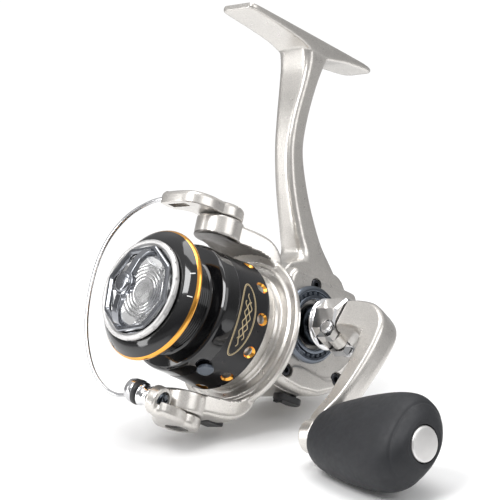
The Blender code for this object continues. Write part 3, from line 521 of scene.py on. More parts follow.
# a stepped lower panel: its upper edge is the crease
panel = [(p[0], p[1]) for p in pts] + [(43.6, 1.2), (42.2, -2.4), (37.4, -7.6), (31, -10.7), (24, -11.5), (18.5, -11.0), (16.2, -10.4), (16.4, -9.0)]
step = domed(panel, "X", 11.4, 12.72, 0.1, 0.42, 4)
cover = cast(join(cover, step), 0.22, 3)
cover = cut(cover, disc(6.4, 7.0, 10.6, "X", BOSS, 64), disc(4.0, 9.0, 13.0, "X", BOSS, 64))
for sy, sz in COVER_SCREWS.values():
    cover = cut(cover, disc(2.1, 10.6, 13.4, "X", (0, sy, sz), 40), disc(1.3, 7.0, 11.0, "X", (0, sy, sz), 32))
piece(cover, "cover_shell", "frame", [PAINT], ["side_cover"], sharp=50, weighted=False)

for name, (sy, sz) in COVER_SCREWS.items():
    s = lathe([(0, 5.0), (0.85, 5.0), (0.85, 10.9), (1.75, 10.9), (1.75, 11.9), (1.45, 12.25), (0.0, 12.25)], "X", (0, sy, sz), 40, 0.12)
    s = cut(s, prism([(sy + 0.85 * math.cos(math.radians(a)), sz + 0.85 * math.sin(math.radians(a))) for a in range(10, 370, 60)], "X", 11.3, 13.0))
    piece(s, name.replace("cover_screw", "socket_screw"), "frame", SCREW, [name])

b = lathe([(7.0, 12.5), (10.9, 12.5), (10.9, 13.3), (10.5, 13.75), (10.1, 14.0), (9.4, 14.0), (9.2, 13.45), (8.35, 13.45), (8.15, 14.3), (7.35, 14.4), (7.0, 14.2)], "X", BOSS, 144, 0.1)
teeth = []
for i in range(28):
    if i % 7 in (5, 6):
        continue
    a = 2 * math.pi * i / 28
    o = box((13.4, -0.38, -0.42), (13.85, 0.38, 0.42))
    place(o, Matrix.Translation(Vector(BOSS)) @ Matrix.Rotation(a, 4, "X") @ Matrix.Translation((0, 0, 8.78)))
    teeth.append(o)
b = join(b, *teeth)
piece(b, "boss_trim_ring", "frame", TURNED_X, ["boss_ring"])
piece(lathe([(0, -10.2), (2.9, -10.2), (2.9, -12.5), (6.3, -12.5), (6.3, -13.3), (5.6, -14.15), (4.9, -14.2), (4.6, -13.9), (0, -14.0)], "X", BOSS, 80, 0.15), "shaft_end_cap", "frame", [PAINT], ["left_cap"])

lev_line = [(5 + 2.6 * math.cos(math.radians(d)), 29 + 2.6 * math.sin(math.radians(d))) for d in range(0, 181, 12)] + [(3.0, 24.0), (3.6, 22.9), (4.2, 22.6), (5.8, 22.6), (6.4, 22.9), (7.0, 24.0)]
lev = domed(lev_line, "Z", -14.9, -13.0, 0.5, 0.15, 4)
lev = join(lev, disc(1.15, -13.3, -11.3, "Z", (5.0, 29.0, 0), 32), *[box((3.9, 22.95 + 0.55 * i, -15.6), (6.1, 23.2 + 0.55 * i, -14.7)) for i in range(3)])
piece(lev, "antireverse_switch_lever", "antireverse", PLASTIC, ["antireverse_lever"])


# ---------------------------------------------------------------- crank, folding arm and knob
q = Vector((0, math.sin(CRANK_ANGLE), -math.cos(CRANK_ANGLE)))
t = Vector((0, math.cos(CRANK_ANGLE), math.sin(CRANK_ANGLE)))
AXIS0 = Vector(BOSS)


def crank_point(x, out, side=0.0):
    p = AXIS0 + Vector((x, 0, 0)) + q * out + t * side
    return (p.x, p.y, p.z)


CRANK = Matrix(((1, 0, 0, 0), (0, t.y, q.y, CRANK_Y), (0, t.z, q.z, CRANK_Z), (0, 0, 0, 1)))
shaft = lathe([(0, -9.0), (1.95, -9.0), (1.95, 12.5), (5.0, 12.6), (5.9, 13.0), (5.9, 18.2), (7.0, 18.4), (7.3, 18.9), (7.0, 19.4), (6.3, 19.8), (0, 19.8)], "X", BOSS, 96, 0.15)
head = from_rings([[(x, r * math.cos(math.radians(a)), r * math.sin(math.radians(a))) for a in range(0, 360, 45)] for x, r in ((19.3, 6.3), (20.0, 7.1), (27.2, 7.1), (27.8, 6.5))])
head = place(head, CRANK)
fork = place(box((23.0, -4.4, 3.1), (27.71, 4.4, 7.9)), CRANK)
shaft = fuse(shaft, head, fork)
shaft = cut(shaft, place(box((23.4, -2.2, 0.2), (29.0, 2.2, 9.0)), CRANK), sweep([crank_point(25.9, 5.4, -8), crank_point(25.9, 5.4, 8)], 1.3, 32))
for g in (1, -1):
    shaft = cut(shaft, sweep([crank_point(25.9, 5.4, g * 4.63), crank_point(25.9, 5.4, g * 9.0)], 2.3, 40))


def head_pick(c, nrm):
    return 1 if c.x < 18.25 else 0


piece(shaft, "polished_crank_head", "crank", [CHROME, DARK_GLOSS], ["crank_shaft"], sharp=24, pick=head_pick)
pin = sweep([crank_point(25.9, 5.4, s) for s in (-5.0, -4.95, 5.15, 5.2)], [0.9, 1.0, 1.0, 0.9], 32)
heads = [sweep([crank_point(25.9, 5.4, g * s) for s in (4.85, 4.95, 5.1, 5.85, 6.0, 6.05)], [1.5, 1.85, 1.9, 1.9, 1.7, 1.3], 40) for g in (1, -1)]
for g, h in ((1, heads[0]), (-1, heads[1])):
    heads[0 if g > 0 else 1] = h
slotcut = place(box((25.9 - 0.25, 5.75, 5.4 - 1.3), (25.9 + 0.25, 6.4, 5.4 + 1.3)), CRANK)
heads[0] = cut(heads[0], slotcut)
piece(join(pin, *heads), "fold_joint_pin", "crank", STEEL, ["fold_pin"])

arm_line = [(28.3, 0.0, 5.0, 5.0), (32.0, 0.1, 5.0, 4.9), (36.5, 1.0, 4.8, 4.6), (40.0, 4.0, 4.2, 4.2), (41.2, 9.0, 3.4, 3.8), (40.8, 15.8, 3.1, 3.5),
            (40.0, 22.1, 2.8, 3.4), (39.0, 26.8, 2.4, 3.3), (37.6, 30.1, 2.1, 3.3), (36.4, 33.6, 2.0, 3.4), (36.2, 38.3, 2.0, 3.2)]
centre = spline([(x, o, 0) for x, o, h, w in arm_line], 5)
sizes = spline([(h, w, 0) for x, o, h, w in arm_line], 5)
rings = []
for i, (c, sz) in enumerate(zip(centre, sizes)):
    a, b2 = centre[max(i - 1, 0)], centre[min(i + 1, len(centre) - 1)]
    d = Vector((b2[0] - a[0], b2[1] - a[1])).normalized()
    if i == 0:
        d = Vector((1, 0))
    nn = Vector((d.y, -d.x))
    h, w = sz[0], sz[1]
    sect = soften([(h, w * 0.80), (h * 0.80, w), (-h * 0.80, w), (-h, w * 0.80), (-h, -w * 0.80), (-h * 0.80, -w), (h * 0.80, -w), (h, -w * 0.80), (h + 0.16, -w * 0.42), (h + 0.16, w * 0.42)], 0.4, 2, loop=True)
    rings.append([crank_point(c[0] + nn.x * u, c[1] + nn.y * u, s) for u, s in sect])
arm = from_rings(rings)
arm = join(arm, lathe([(0, 34.1), (4.7, 34.1), (4.7, 38.2), (0, 38.2)], "X", crank_point(0, THROW), 80, 0.4))
arm = cast(arm, 0.2, 2)
arm = cut(arm, disc(1.6, 30, 40, "X", crank_point(0, THROW), 40))
tongue = fuse(place(box((24.6, -1.9, 3.6), (29.8, 1.9, 4.95)), CRANK), sweep([crank_point(25.9, 5.4, -1.82), crank_point(25.9, 5.4, 1.82)], 2.15, 40))
tongue = cut(tongue, sweep([crank_point(25.9, 5.4, -8), crank_point(25.9, 5.4, 8)], 1.3, 32))
piece(join(arm, tongue), "crank_arm_casting", "handle", [PAINT], ["handle_arm"], sharp=50, weighted=False)

k = (Vector((1, 0, 0)) * math.cos(KNOB_TILT) + q * math.sin(KNOB_TILT)).normalized()
wide = (q * math.cos(KNOB_TILT) - Vector((1, 0, 0)) * math.sin(KNOB_TILT)).normalized()
thin = k.cross(wide)
K0 = Vector(crank_point(KNOB_X, THROW))
KNOB = Matrix(((wide.x, thin.x, k.x, K0.x), (wide.y, thin.y, k.y, K0.y), (wide.z, thin.z, k.z, K0.z), (0, 0, 0, 1)))
post = lathe([(0, -3.3), (2.4, -3.3), (3.2, -3.0), (3.35, -2.7), (3.35, -2.6), (1.3, -2.6), (1.3, 31.0), (0, 31.0)], "Z", seg=80, r=0.2)
piece(place(post, KNOB), "knob_spindle", "handle", SATIN_STEEL, ["knob_post"])


def knob_ring(z, a, b, n=96, p=2.3):
    pts = []
    for i in range(n):
        c, s = math.cos(2 * math.pi * i / n), math.sin(2 * math.pi * i / n)
        pts.append((math.copysign(abs(c) ** (2 / p), c) * a, math.copysign(abs(s) ** (2 / p), s) * b, z))
    return pts


KNOB_FORM = [(2.6, 4.6, 4.2), (2.9, 6.0, 5.2), (4.0, 7.6, 6.2), (7.0, 9.4, 7.0), (12, 11.0, 7.9), (19, 12.6, 8.9), (26, 13.7, 9.5),
             (31.0, 13.9, 9.5), (34.5, 13.2, 9.0), (37.2, 11.2, 7.8), (39.2, 8.4, 6.6), (40.0, 6.2, 5.8)]
form = spline(KNOB_FORM, 14)


def seam_at(ang):
    return 37.3 - 0.8 * abs(math.sin(ang)) ** 1.6


grip_rings = []
for z, a, b in form:
    ringp = []
    for i, (x, y, _) in enumerate(knob_ring(z, a, b, 120)):
        ang = 2 * math.pi * i / 120
        dz = z - seam_at(ang)
        groove = 0.26 * math.exp(-(dz / 0.30) ** 2)
        # a soft raised border follows the seam on the body's side
        swell = 0.10 * math.exp(-((dz + 1.1) / 0.8) ** 2)
        f = 1 + (swell - groove) / max(a, b)
        ringp.append((x * f, y * f, z))
    grip_rings.append(ringp)
grip = from_rings(grip_rings)
grip = cut(grip, disc(3.0, 1.0, 28.4, "Z", seg=40), disc(1.9, 20, 32.0, "Z", seg=40), disc(5.15, 38.4, 42, "Z", seg=72))
piece(place(grip, KNOB), "soft_knob_grip", "knob", RUBBER, ["knob_grip"], sharp=35)
cap = lathe([(0, 38.7), (4.85, 38.7), (4.85, 39.9), (4.5, 40.45), (0.0, 40.75)], "Z", seg=96, r=0.35)
piece(place(cap, KNOB), "knob_end_cap", "knob", SATIN_STEEL, ["knob_cap"])
piece(place(ring(1.6, 2.7, 4.2, 28.0, "Z", seg=48), KNOB), "knob_sleeve", "knob", PLASTIC, ["knob_bush"])


# ---------------------------------------------------------------- rotor
def rib(x, r):
    return r - (26 - math.sqrt(26 * 26 - x * x))


rim = lathe([(3.2, 3.0), (7.0, 3.0), (7.0, 5.5), (15.6, 5.5), (15.6, -8.0), (17.1, -8.0), (17.1, 4.6), (16.7, 4.9), (16.7, 5.4), (17.1, 5.7), (17.1, 7.2), (19.7, 7.2), (20.2, 7.7), (22.2, 7.7), (RIM_R, 8.1),
             (22.45, 9.1), (21.2, 10.6), (19.4, 11.6), (18.2, 11.9), (12.2, 11.9), (12.2, 8.2), (3.2, 8.2)], seg=144, r=0.25)


def arm_shell(sign):
    line = [(11.4, 16.8, 18.4, 9.0), (10.3, 17.6, 21.8, 10.2), (8.7, 19.2, 25.0, 10.0), (6.2, 21.6, 26.9, 9.4), (2.9, ARM_IN, ARM_OUT, 8.4), (-2.1, ARM_IN, ARM_OUT, 6.9),
            (-7.6, ARM_IN + 0.1, ARM_OUT - 0.1, 5.1)]
    fine = spline([(r0, r1, w) for y, r0, r1, w in line], 5)
    ys = spline([(y, 0, 0) for y, r0, r1, w in line], 5)
    rings = []
    for (r0, r1, w), (y, _, _) in zip(fine, ys):
        c = 0.7
        xs = [-w + 2 * w * i / 10 for i in range(11)]
        low = [(x, y, sign * rib(x, r0)) for x in xs]
        out = [(w * 0.985, rib(w, r1 - c * 0.9)), (w * 0.96, rib(w * 0.96, r1 - 0.25)), (w * 0.90, rib(w * 0.90, r1))]
        high = [(x, y, sign * z) for x, z in out] + [(x * 0.8, y, sign * rib(x * 0.8, r1)) for x in reversed(xs)] + [(-x, y, sign * z) for x, z in reversed(out)]
        rings.append(low + high)
    return from_rings(rings)


solids = [arm_shell(1), arm_shell(-1)]
for sign in (1, -1):
    lo, hi = sorted((sign * 22.15, sign * 27.9))
    solids.append(lathe([(0, lo), (6.6, lo), (6.6, hi), (0, hi)], "Z", (0, PIVOT_Y, 0), 96, 0.5))
rot = cast(join(rim, *solids), 0.3, 4)
cuts = []
for sign in (1, -1):
    rot = cut(rot, disc(1.9, min(sign * 24.0, sign * 30), max(sign * 24.0, sign * 30), "Z", (0, PIVOT_Y, 0), 48))
rot = cut(rot, box((-1.71, 0.93, -28.5), (1.71, 6.97, -23.6)))
for sign in (1, -1):
    zz = sorted((sign * 26.3, sign * 29.0))
    rot = cut(rot, prism(soften([(-3.53, 0.47), (3.53, 0.47), (3.53, 7.34), (-3.53, 7.34)], 0.8, 4, loop=True), "Z", *zz))
# white balance rib on the rotor, behind the skirt
# second slot: painted shade, the dark copy of the silver paint
rot_mats = [PAINT, SILVER_PAINTED_SHADE]


def rotor_pick(c, nrm):
    r = math.hypot(c.x, c.z)
    if 17.2 < r < 20.05 and 6.9 < c.y < 7.6 and nrm.y < -0.6:
        return 0
    # inside the rotor's cup, behind the rim: painted shade in the dark copy of the paint
    if r < 16.0 and c.y < 6.2:
        return 1
    # inner faces of the arms, towards the axis: painted shade as well
    if abs(c.x) < 11 and 21.9 < abs(c.z) + (26 - math.sqrt(max(0, 26 * 26 - c.x * c.x))) < 23.0 and c.y < 6.0 and nrm.z * c.z < 0:
        return 1
    return 0


piece(rot, "rotor_casting", "rotor", rot_mats, ["rotor"], sharp=48, pick=rotor_pick, weighted=False)
for sign, old, name in ((1, "arm_cover_far", "arm_lid_far"), (-1, "arm_cover_roller", "arm_lid_roller")):
    out = soften([(-3.2, 0.8), (3.2, 0.8), (3.2, 7.0), (-3.2, 7.0)], 0.7, 4, loop=True)
    lid = domed(out, "Z", 26.6, 27.7, 0.0, 0.35, 4)
    if sign < 0:
        lid = place(lid, Matrix.Diagonal((1, 1, -1, 1)))
    piece(lid, name, "rotor", [PAINT] if sign > 0 else [PLASTIC], [old])
for sign, old, name in ((1, "pivot_screw_far", "pivot_bolt_far"), (-1, "pivot_screw_roller", "pivot_bolt_roller")):
    prof = [(0, 24.3), (1.5, 24.3), (1.5, 30.2), (3.0, 30.2), (3.0, 31.2), (2.6, 31.55), (0, 31.6)]
    s = lathe([(r, sign * a) for r, a in prof], "Z", (0, PIVOT_Y, 0), 64, 0.15)
    zz = sorted((sign * 30.9, sign * 32.4))
    s = cut(s, box((-2.2, PIVOT_Y - 0.3, zz[0]), (2.2, PIVOT_Y + 0.3, zz[1])))
    piece(s, name, "rotor", STEEL if sign > 0 else SCREW, [old])

# ---------------------------------------------------------------- bail
PIVOT = (0, PIVOT_Y, 0)


def arc(cx, cy, r, a0, a1, n):
    return [(cx + r * math.cos(math.radians(a0 + (a1 - a0) * i / n)), cy + r * math.sin(math.radians(a0 + (a1 - a0) * i / n))) for i in range(n + 1)]


far_tail = spline([(-5.75, -9.1, 0), (-5.6, -13.5, 0), (-8.6, -16.0, 0), (-9.6, -17.2, 0), (-9.6, -20.8, 0), (-8.4, -22.0, 0), (-1.0, -22.0, 0), (2.8, -20.2, 0), (4.7, -16.0, 0), (4.67, -10.9, 0)], 5)
far_line = arc(0, PIVOT_Y, 6.1, -40, 200, 44) + [(p[0], p[1]) for p in far_tail[2:-2]]
far = domed(far_line, "Z", 28.3, 32.0, 0.3, 1.5, 6)
far = cut(far, disc(3.3, 29.9, 34, "Z", PIVOT, 64), disc(1.8, 27, 30.5, "Z", PIVOT, 48), box((-7.6, -20.6, 27.0), (-1.0, -18.0, 29.4)), sweep([(-12, -19.3, 30.6), (-6.0, -19.3, 30.6)], 0.95, 32))
piece(far, "bail_arm_far", "bail", [PAINT], ["far_arm"], sharp=34)

A0 = Vector((5.0, -18.2, -28.0))
u = Vector((-0.925, -0.265, 0.27)).normalized()
side = u.orthogonal().normalized()
ROLL = Matrix(((side.x, u.cross(side).x, u.x, A0.x), (side.y, u.cross(side).y, u.y, A0.y), (side.z, u.cross(side).z, u.z, A0.z), (0, 0, 0, 1)))
roll_tail = spline([(-6.1, -7.4, 0), (-5.9, -10.5, 0), (-2.4, -14.6, 0), (0.2, -16.2, 0), (2.0, -19.6, 0), (6.4, -20.6, 0), (7.4, -15.0, 0), (6.4, -11.0, 0), (5.6, -9.6, 0)], 5)
roll_line = arc(0, PIVOT_Y, 6.1, -24, 180, 40) + [(p[0], p[1]) for p in roll_tail[2:-2]]
rarm = domed(roll_line, "Z", -32.0, -28.3, 1.5, 0.3, 6)
rarm = join(rarm, place(lathe([(0, 0.2), (4.1, 0.2), (4.1, 3.35), (0, 3.35)], "Z", seg=80, r=0.6), ROLL))
rarm = cast(rarm, 0.17, 3)
rarm = cut(rarm, disc(3.3, -34, -29.9, "Z", PIVOT, 64), disc(1.8, -30.5, -27, "Z", PIVOT, 48), place(disc(2.95, -1, 1.5, "Z", seg=64), ROLL),
           place(disc(1.35, 0, 5, "Z", seg=40), ROLL), place(disc(4.6, 3.15, 13, "Z", seg=64), ROLL))
piece(rarm, "bail_arm_roller", "bail", [PAINT], ["roller_arm"], sharp=42, weighted=False)
rs = lathe([(0, -0.35), (1.5, -0.3), (2.35, 0.0), (2.75, 0.45), (2.75, 1.45), (1.05, 1.2), (1.05, 9.5), (0, 9.5)], "Z", seg=56, r=0.15)
rs = cut(rs, box((-1.6, -0.3, -0.8), (1.6, 0.3, 0.45)), box((-0.3, -1.6, -0.8), (0.3, 1.6, 0.46)))
piece(place(rs, ROLL), "roller_cross_screw", "bail", DARK, ["roller_screw"])
piece(place(ring(1.35, 1.95, 3.8, 7.2, "Z", seg=48), ROLL), "roller_sleeve", "bail", PLASTIC, ["roller_bush"])
piece(place(lathe([(2.25, 3.7), (3.3, 3.7), (3.3, 4.2), (2.8, 4.8), (2.7, 5.4), (2.8, 6.2), (3.3, 6.8), (3.3, 7.3), (2.25, 7.3)], "Z", seg=80, r=0.2), ROLL), "polished_line_roller", "roller", CHROME, ["line_roller"])
cone = lathe([(1.35, 7.6), (3.2, 7.6), (3.5, 8.0), (3.5, 8.9), (3.3, 9.1), (3.4, 9.4), (3.35, 10.3), (2.9, 11.6), (1.9, 12.3), (0, 12.5), (0, 10.0), (1.35, 10.0)], "Z", seg=80, r=0.15)
cone = place(cone, ROLL)
WIRE = [(-4.2, -20.9, -26.2), (-9.0, -22.2, -27.0), (-13.8, -23.1, -25.4), (-18.6, -24.2, -21.0), (-22.6, -24.8, -14.4), (-25.3, -25.2, -6.4), (-26.8, -25.0, 2.6),
        (-27.0, -24.3, 11.4), (-25.4, -23.2, 19.0), (-21.6, -21.6, 25.4), (-15.8, -20.0, 29.4), (-10.2, -19.3, 30.6), (-7.0, -19.3, 30.6)]
wire = sweep(spline(WIRE, 14), 0.58, 20)


def wire_pick(c, nrm):
    w = Vector(c) - A0
    h = w.dot(u)
    return 1 if (7.55 < h < 9.0 and (w - u * h).length < 3.8) else 0


piece(join(cone, wire), "bail_wire_steel", "bail", [STEEL, PLASTIC], ["bail_wire"], sharp=40, pick=wire_pick)


# ---------------------------------------------------------------- spool
sp = lathe([(2.2, -20.5), (11.9, -20.5), (11.9, -28.6), *[(p[0], p[1]) for p in spline([(12.6, -29.2, 0), (14.7, -28.95, 0), (16.4, -28.1, 0), (17.6, -27.05, 0), (18.2, -26.4, 0), (LIP_R, -25.8, 0)], 5)], (18.35, -25.35), (17.6, -24.9), (15.6, -24.3), (14.2, -23.75),
            (ARBOR_R, -23.1)] +
           [(ARBOR_R + (0.22 if i % 2 else 0.0), -22.9 + i * 0.37) for i in range(0, 15)] +
           [(ARBOR_R, -17.4), (14.1, -16.9), (17.2, -16.1), (17.9, -15.7), (18.1, -15.0), (SKIRT_R, -14.0), (18.22, -10.62), (18.12, -10.5), (18.22, -10.38), (18.3, -4.0), (18.6, 0.3), (18.7, 0.6), (18.6, 1.0), (18.0, 1.0),
            (17.65, -3.0), (17.6, -14.2), (12.0, -14.8), (12.0, -18.6), (5.5, -18.6), (5.5, -10.2), (2.2, -10.2)], seg=192, r=0.14)
for i in range(HOLES):
    a = math.radians(360 / HOLES * i + 1)
    d = Vector((math.cos(a), 0, math.sin(a)))
    hole = sweep([tuple(d * r + Vector((0, -1.5, 0))) for r in (16.0, 18.02, 18.55, 18.9)], [1.3, 1.3, 1.9, 2.25], 36)
    sp = cut(sp, hole)


def spool_pick(c, nrm):
    r = math.hypot(c.x, c.z)
    if c.y > -4.6 and 16.9 < r < 18.62:
        a = math.degrees(math.atan2(c.z, c.x)) - 1
        off = (a + 15) % 30 - 15
        dist = math.hypot(math.radians(off) * 18.3, c.y + 1.5)
        radial = abs(nrm.x * c.x + nrm.z * c.z) / max(r, 1e-6)
        if dist < 2.12 and radial < 0.93:
            return 2
    if -26.75 < c.y < -25.0 and r > 17.5:
        return 2
    if -23.4 < c.y < -17.2 and r < 14.3 and r > 13.0:
        return 3
    if c.y < -10.45 and r > 11.0:
        return 0
    return 1


piece(sp, "spool_body", "spool", [GLOSS, SATIN, GOLD, LINED], ["spool"], sharp=32, pick=spool_pick)

# printed marks: two white ticks on the lip, a plain oval outline with a wave on the skirt
marks = []
for deg in (17, -5):
    a = math.radians(deg)
    o = box((-0.13, -0.06, -0.75), (0.13, 0.12, 0.75))
    tilt = Matrix.Rotation(math.radians(-42), 4, "X")
    at = Vector((0, -27.64, 17.03))
    marks.append(place(o, Matrix.Rotation(math.radians(90 - deg), 4, "Y") @ Matrix.Translation(at) @ tilt))
piece(join(*marks), "lip_marks", "spool", WHITE)


def on_skirt(deg, y, proud=0.03):
    a = math.radians(deg)
    r = SKIRT_R + (y + 14.0) * 0.0101 + proud
    return (r * math.cos(a), y, r * math.sin(a))


def stroke(path, width=0.14, loop=False):
    """A thin printed line: a flat ribbon lying on the skirt."""
    pts = path + (path[:1] if loop else [])
    rings = []
    m = len(pts)
    for i, (deg, y) in enumerate(pts):
        if loop:
            p, nx = pts[(i - 1) % (m - 1)], pts[(i + 1) % (m - 1)]
        else:
            p, nx = pts[max(i - 1, 0)], pts[min(i + 1, m - 1)]
        du, dv = (nx[0] - p[0]) * math.radians(1) * 18.3, nx[1] - p[1]
        ln = math.hypot(du, dv) or 1
        ox, oy = -dv / ln * width / 2, du / ln * width / 2
        da = math.degrees(ox / 18.3)
        rings.append([on_skirt(deg + da, y + oy, 0.035), on_skirt(deg - da, y - oy, 0.035), on_skirt(deg - da, y - oy, -0.02), on_skirt(deg + da, y + oy, -0.02)])
    return from_rings(rings)


oval = [(-5 + 33.5 * math.cos(2 * math.pi * i / 160), -6.9 + 3.0 * math.sin(2 * math.pi * i / 160)) for i in range(160)]
inner = [(-5 + 32.3 * math.cos(2 * math.pi * i / 160), -6.9 + 2.66 * math.sin(2 * math.pi * i / 160)) for i in range(160)]
waves = []
for j, (y0, span) in enumerate(((-7.75, 17), (-6.85, 24), (-5.95, 17))):
    waves.append(stroke([(-5 - span + 2 * span * i / 80, y0 + 0.34 * math.sin(2 * math.pi * i / 80 * (4 + j % 2))) for i in range(81)], 0.26))
piece(join(stroke(oval, 0.22, True), stroke(inner, 0.10, True), *waves), "skirt_print", "spool", CREAM, sharp=60)

cl = domed([(2.05 * math.copysign(abs(math.cos(math.radians(t0))) ** 0.8, math.cos(math.radians(t0))), 2.45 * math.copysign(abs(math.sin(math.radians(t0))) ** 0.8, math.sin(math.radians(t0)))) for t0 in range(0, 360, 9)], "Z", 18.85, 19.7, 0.0, 0.35, 4)
cl = place(cl, Matrix.Translation((0, -10.2, 0)) @ Matrix.Rotation(math.radians(90 + 59), 4, "Y"))
piece(cl, "line_clip_tab", "spool", CLIP, ["line_clip"])

# ---------------------------------------------------------------- drag knob
dk = lathe([(2.2, -24.6), (9.8, -24.6), (10.8, -25.4), (10.8, -28.6), (11.4, -29.5), (13.9, -29.5), (14.25, -29.9), (14.25, -30.8), (13.8, -31.3), (13.1, -31.3),
            (12.5, -30.6), (11.2, -30.45), (11.0, -30.15), (10.0, -30.0), (9.8, -29.8), (8.8, -29.7), (8.6, -29.45), (7.4, -29.35), (7.2, -29.1), (3.4, -29.1), (0, -29.1), (0, -28.2), (4.3, -28.2), (4.3, -26.2), (2.2, -26.2)], seg=192, r=0.14)
dk = cut(dk, *[sweep([(14.75 * math.cos(math.radians(a)), -32, 14.75 * math.sin(math.radians(a))), (14.75 * math.cos(math.radians(a)), -29.0, 14.75 * math.sin(math.radians(a)))], 0.75, 20) for a in range(10, 370, 20)])
R8 = 1 / math.cos(math.radians(22.5))
eight = lambda r, c0: soften([(r * R8 * math.cos(math.radians(c)), r * R8 * math.sin(math.radians(c))) for c in range(0, 360, 45)], c0, 3, loop=True)
dish = from_rings([[(x, y, z) for x, z in eight(r, 0.3)] for r, y in [(10.0, -30.95), (9.5, -30.95), (9.2, -30.7), (7.5, -29.5), (7.3, -29.02), (10.0, -29.02)]], closed=True)
steps = [lathe([(r, -29.0), (r, -29.0 - h), (r - 0.75, -29.0 - h), (r - 0.75, -29.0)], seg=144, r=0.1) for r, h in ((7.4, 0.42), (6.4, 0.34), (5.4, 0.27), (4.4, 0.2))]
dk = join(dk, dish, *steps)


def knob_pick(c, nrm):
    r = math.hypot(c.x, c.z)
    return 1 if r > 12.4 or c.y > -27.0 else 0


piece(dk, "drag_dial", "drag", [TURNED, SATIN_STEEL], ["drag_knob"], sharp=30, pick=knob_pick)
R8 = 1 / math.cos(math.radians(22.5))
octo = lambda r: soften([(r * R8 * math.cos(math.radians(c)), r * R8 * math.sin(math.radians(c))) for c in range(0, 360, 45)], 0.8, 4, loop=True)
levels = [(11.55, -31.0), (11.7, -31.15), (11.7, -31.85), (11.45, -32.1), (10.75, -32.1), (10.2, -31.7), (10.1, -31.0)]
trim = from_rings([[(x, y, z) for x, z in octo(r)] for r, y in levels], closed=True)
bline = soften([(-11.3, -31.2), (-10.6, -34.0), (-7.6, -35.9), (-3.0, -36.7), (3.0, -36.7), (7.6, -35.9), (10.6, -34.0), (11.3, -31.2), (9.7, -31.2), (9.0, -33.2), (6.6, -34.6), (-6.6, -34.6), (-9.0, -33.2), (-9.7, -31.2)], 0.9, 4, loop=True)
bridge = domed(bline, "Z", -1.3, 1.3, 0.35, 0.35, 4)
hub = lathe([(0, -37.6), (2.2, -37.6), (2.7, -37.2), (2.7, -34.9), (0, -34.9)], seg=80, r=0.25)
ringlet = lathe([(2.7, -36.95), (3.4, -36.75), (3.4, -35.2), (2.7, -35.0)], seg=80, r=0.15)
trim = join(trim, bridge, hub, ringlet)
trim = place(trim, Matrix.Rotation(math.radians(-(90 - 17.5)), 4, "Y"))
piece(trim, "drag_dial_bridge", "drag", SMOKED, ["drag_knob_trim"], sharp=34)


# ---------------------------------------------------------------- studio
FLOOR_N = Vector((0.224, -0.484, 0.846)).normalized()
low = min((o.matrix_world @ v.co).dot(FLOOR_N) for n in ("knob_grip", "roller_arm", "bail_wire", "rotor", "handle_arm") for o in (NODES[n],) for v in o.data.vertices)
base = FLOOR_N * (low - 0.0006)
ax = FLOOR_N.orthogonal().normalized()
ay = FLOOR_N.cross(ax)
bm = bmesh.new()
fv = [bm.verts.new(base + Vector((0.02, -0.01, -0.07)) * 0 + ax * sx * 3 + ay * sy * 3) for sx, sy in ((-1, -1), (1, -1), (1, 1), (-1, 1))]
bm.faces.new(fv)
bmesh.ops.recalc_face_normals(bm, faces=bm.faces)
for f in bm.faces:
    if f.normal.dot(FLOOR_N) < 0:
        f.normal_flip()
fm = bpy.data.meshes.new("floor")
bm.to_mesh(fm)
bm.free()
floor = bpy.data.objects.new("floor", fm)
bpy.context.scene.collection.objects.link(floor)
m = bpy.data.materials.new("pale_floor")
m.use_nodes = True
nt = m.node_tree
s = nt.nodes["Principled BSDF"]
s.inputs["Roughness"].default_value = 0.6
s.inputs["Specular IOR Level"].default_value = 0.15
co = nt.nodes.new("ShaderNodeTexCoord")
nz = nt.nodes.new("ShaderNodeTexNoise")
nz.inputs["Scale"].default_value = 3
rp = nt.nodes.new("ShaderNodeValToRGB")
rp.color_ramp.elements[0].color, rp.color_ramp.elements[1].color = (0.93, 0.93, 0.93, 1), (0.96, 0.96, 0.96, 1)
nt.links.new(co.outputs["Object"], nz.inputs["Vector"])
nt.links.new(nz.outputs["Fac"], rp.inputs["Fac"])
nt.links.new(rp.outputs["Color"], s.inputs["Base Color"])
geo = nt.nodes.new("ShaderNodeNewGeometry")
clear = nt.nodes.new("ShaderNodeBsdfTransparent")
mixs = nt.nodes.new("ShaderNodeMixShader")
ln = nt.nodes.new("ShaderNodeVectorMath")
ln.operation = "DISTANCE"
ln.inputs[1].default_value = base + ax * (Vector((0.02, -0.01, -0.08)).dot(ax)) + ay * (Vector((0.02, -0.01, -0.08)).dot(ay))
nt.links.new(co.outputs["Object"], ln.inputs[0])
fade = nt.nodes.new("ShaderNodeMapRange")
fade.interpolation_type = "SMOOTHSTEP"
fade.inputs["From Min"].default_value, fade.inputs["From Max"].default_value = 0.10, 0.24
nt.links.new(ln.outputs["Value"], fade.inputs["Value"])
mx = nt.nodes.new("ShaderNodeMath")
mx.operation = "MAXIMUM"
nt.links.new(fade.outputs["Result"], mx.inputs[0])
nt.links.new(geo.outputs["Backfacing"], mx.inputs[1])
nt.links.new(mx.outputs["Value"], mixs.inputs["Fac"])
nt.links.new(s.outputs["BSDF"], mixs.inputs[1])
nt.links.new(clear.outputs["BSDF"], mixs.inputs[2])
nt.links.new(mixs.outputs["Shader"], nt.nodes["Material Output"].inputs["Surface"])
floor.data.materials.append(m)

CENTRE = Vector((0.02, -0.01, -0.075))
ROOM_UP = FLOOR_N


def area(name, at, size, power, colour=(1, 1, 1), size_y=None):
    d = bpy.data.lights.new(name, "AREA")
    d.energy, d.color = power, colour
    d.size = size
    if size_y:
        d.shape, d.size_y = "RECTANGLE", size_y
    o = bpy.data.objects.new(name, d)
    bpy.context.scene.collection.objects.link(o)
    o.location = CENTRE + at
    o.rotation_euler = (-at).to_track_quat("-Z", "Y").to_euler()
    return o


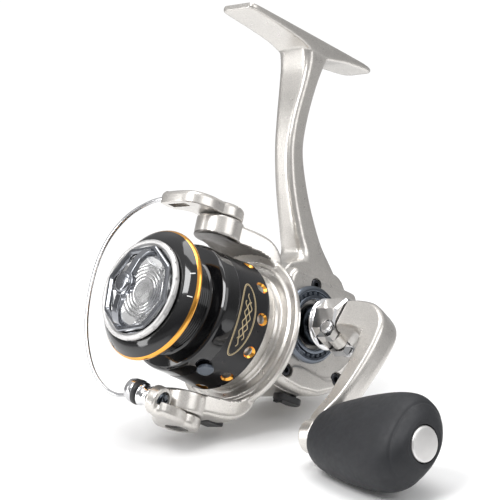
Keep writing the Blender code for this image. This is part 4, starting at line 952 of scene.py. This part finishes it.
area("key", RIGHT * -0.38 + ROOM_UP * 0.55 + BACK * 0.35, 0.34, 3.6)
area("fill", RIGHT * 0.60 + ROOM_UP * 0.30 + BACK * 0.30, 0.5, 1.5)
area("top", ROOM_UP * 0.75 + BACK * -0.15, 0.5, 2.6)
area("strip", RIGHT * -0.55 + ROOM_UP * 0.05 + BACK * 0.05, 0.10, 0.8, size_y=0.5)

w = bpy.context.scene.world or bpy.data.worlds.new("world")
bpy.context.scene.world = w
w.use_nodes = True
nt = w.node_tree
nt.nodes.clear()
out = nt.nodes.new("ShaderNodeOutputWorld")
tc = nt.nodes.new("ShaderNodeTexCoord")
dot = nt.nodes.new("ShaderNodeVectorMath")
dot.operation = "DOT_PRODUCT"
dot.inputs[1].default_value = ROOM_UP
nt.links.new(tc.outputs["Generated"], dot.inputs[0])
mr = nt.nodes.new("ShaderNodeMapRange")
mr.inputs["From Min"].default_value, mr.inputs["From Max"].default_value = -1, 1
nt.links.new(dot.outputs["Value"], mr.inputs["Value"])
rp = nt.nodes.new("ShaderNodeValToRGB")
e = rp.color_ramp.elements
e[0].position, e[0].color = 0.0, (0.75, 0.75, 0.75, 1)
e[1].position, e[1].color = 1.0, (1.0, 1.0, 1.0, 1)
for pos, v in ((0.47, 0.62), (0.53, 0.30), (0.64, 0.36), (0.80, 0.85)):
    x = e.new(pos)
    x.color = (v, v, v * 1.01, 1)
nt.links.new(mr.outputs["Result"], rp.inputs["Fac"])
studio = nt.nodes.new("ShaderNodeBackground")
studio.inputs["Strength"].default_value = 0.75
nt.links.new(rp.outputs["Color"], studio.inputs["Color"])
plain = nt.nodes.new("ShaderNodeBackground")
plain.inputs["Color"].default_value = (1, 1, 1, 1)
plain.inputs["Strength"].default_value = 1.05
lp = nt.nodes.new("ShaderNodeLightPath")
mx = nt.nodes.new("ShaderNodeMixShader")
nt.links.new(lp.outputs["Is Camera Ray"], mx.inputs["Fac"])
nt.links.new(studio.outputs[0], mx.inputs[1])
nt.links.new(plain.outputs[0], mx.inputs[2])
nt.links.new(mx.outputs[0], out.inputs["Surface"])
bpy.context.scene.view_settings.view_transform = "Standard"
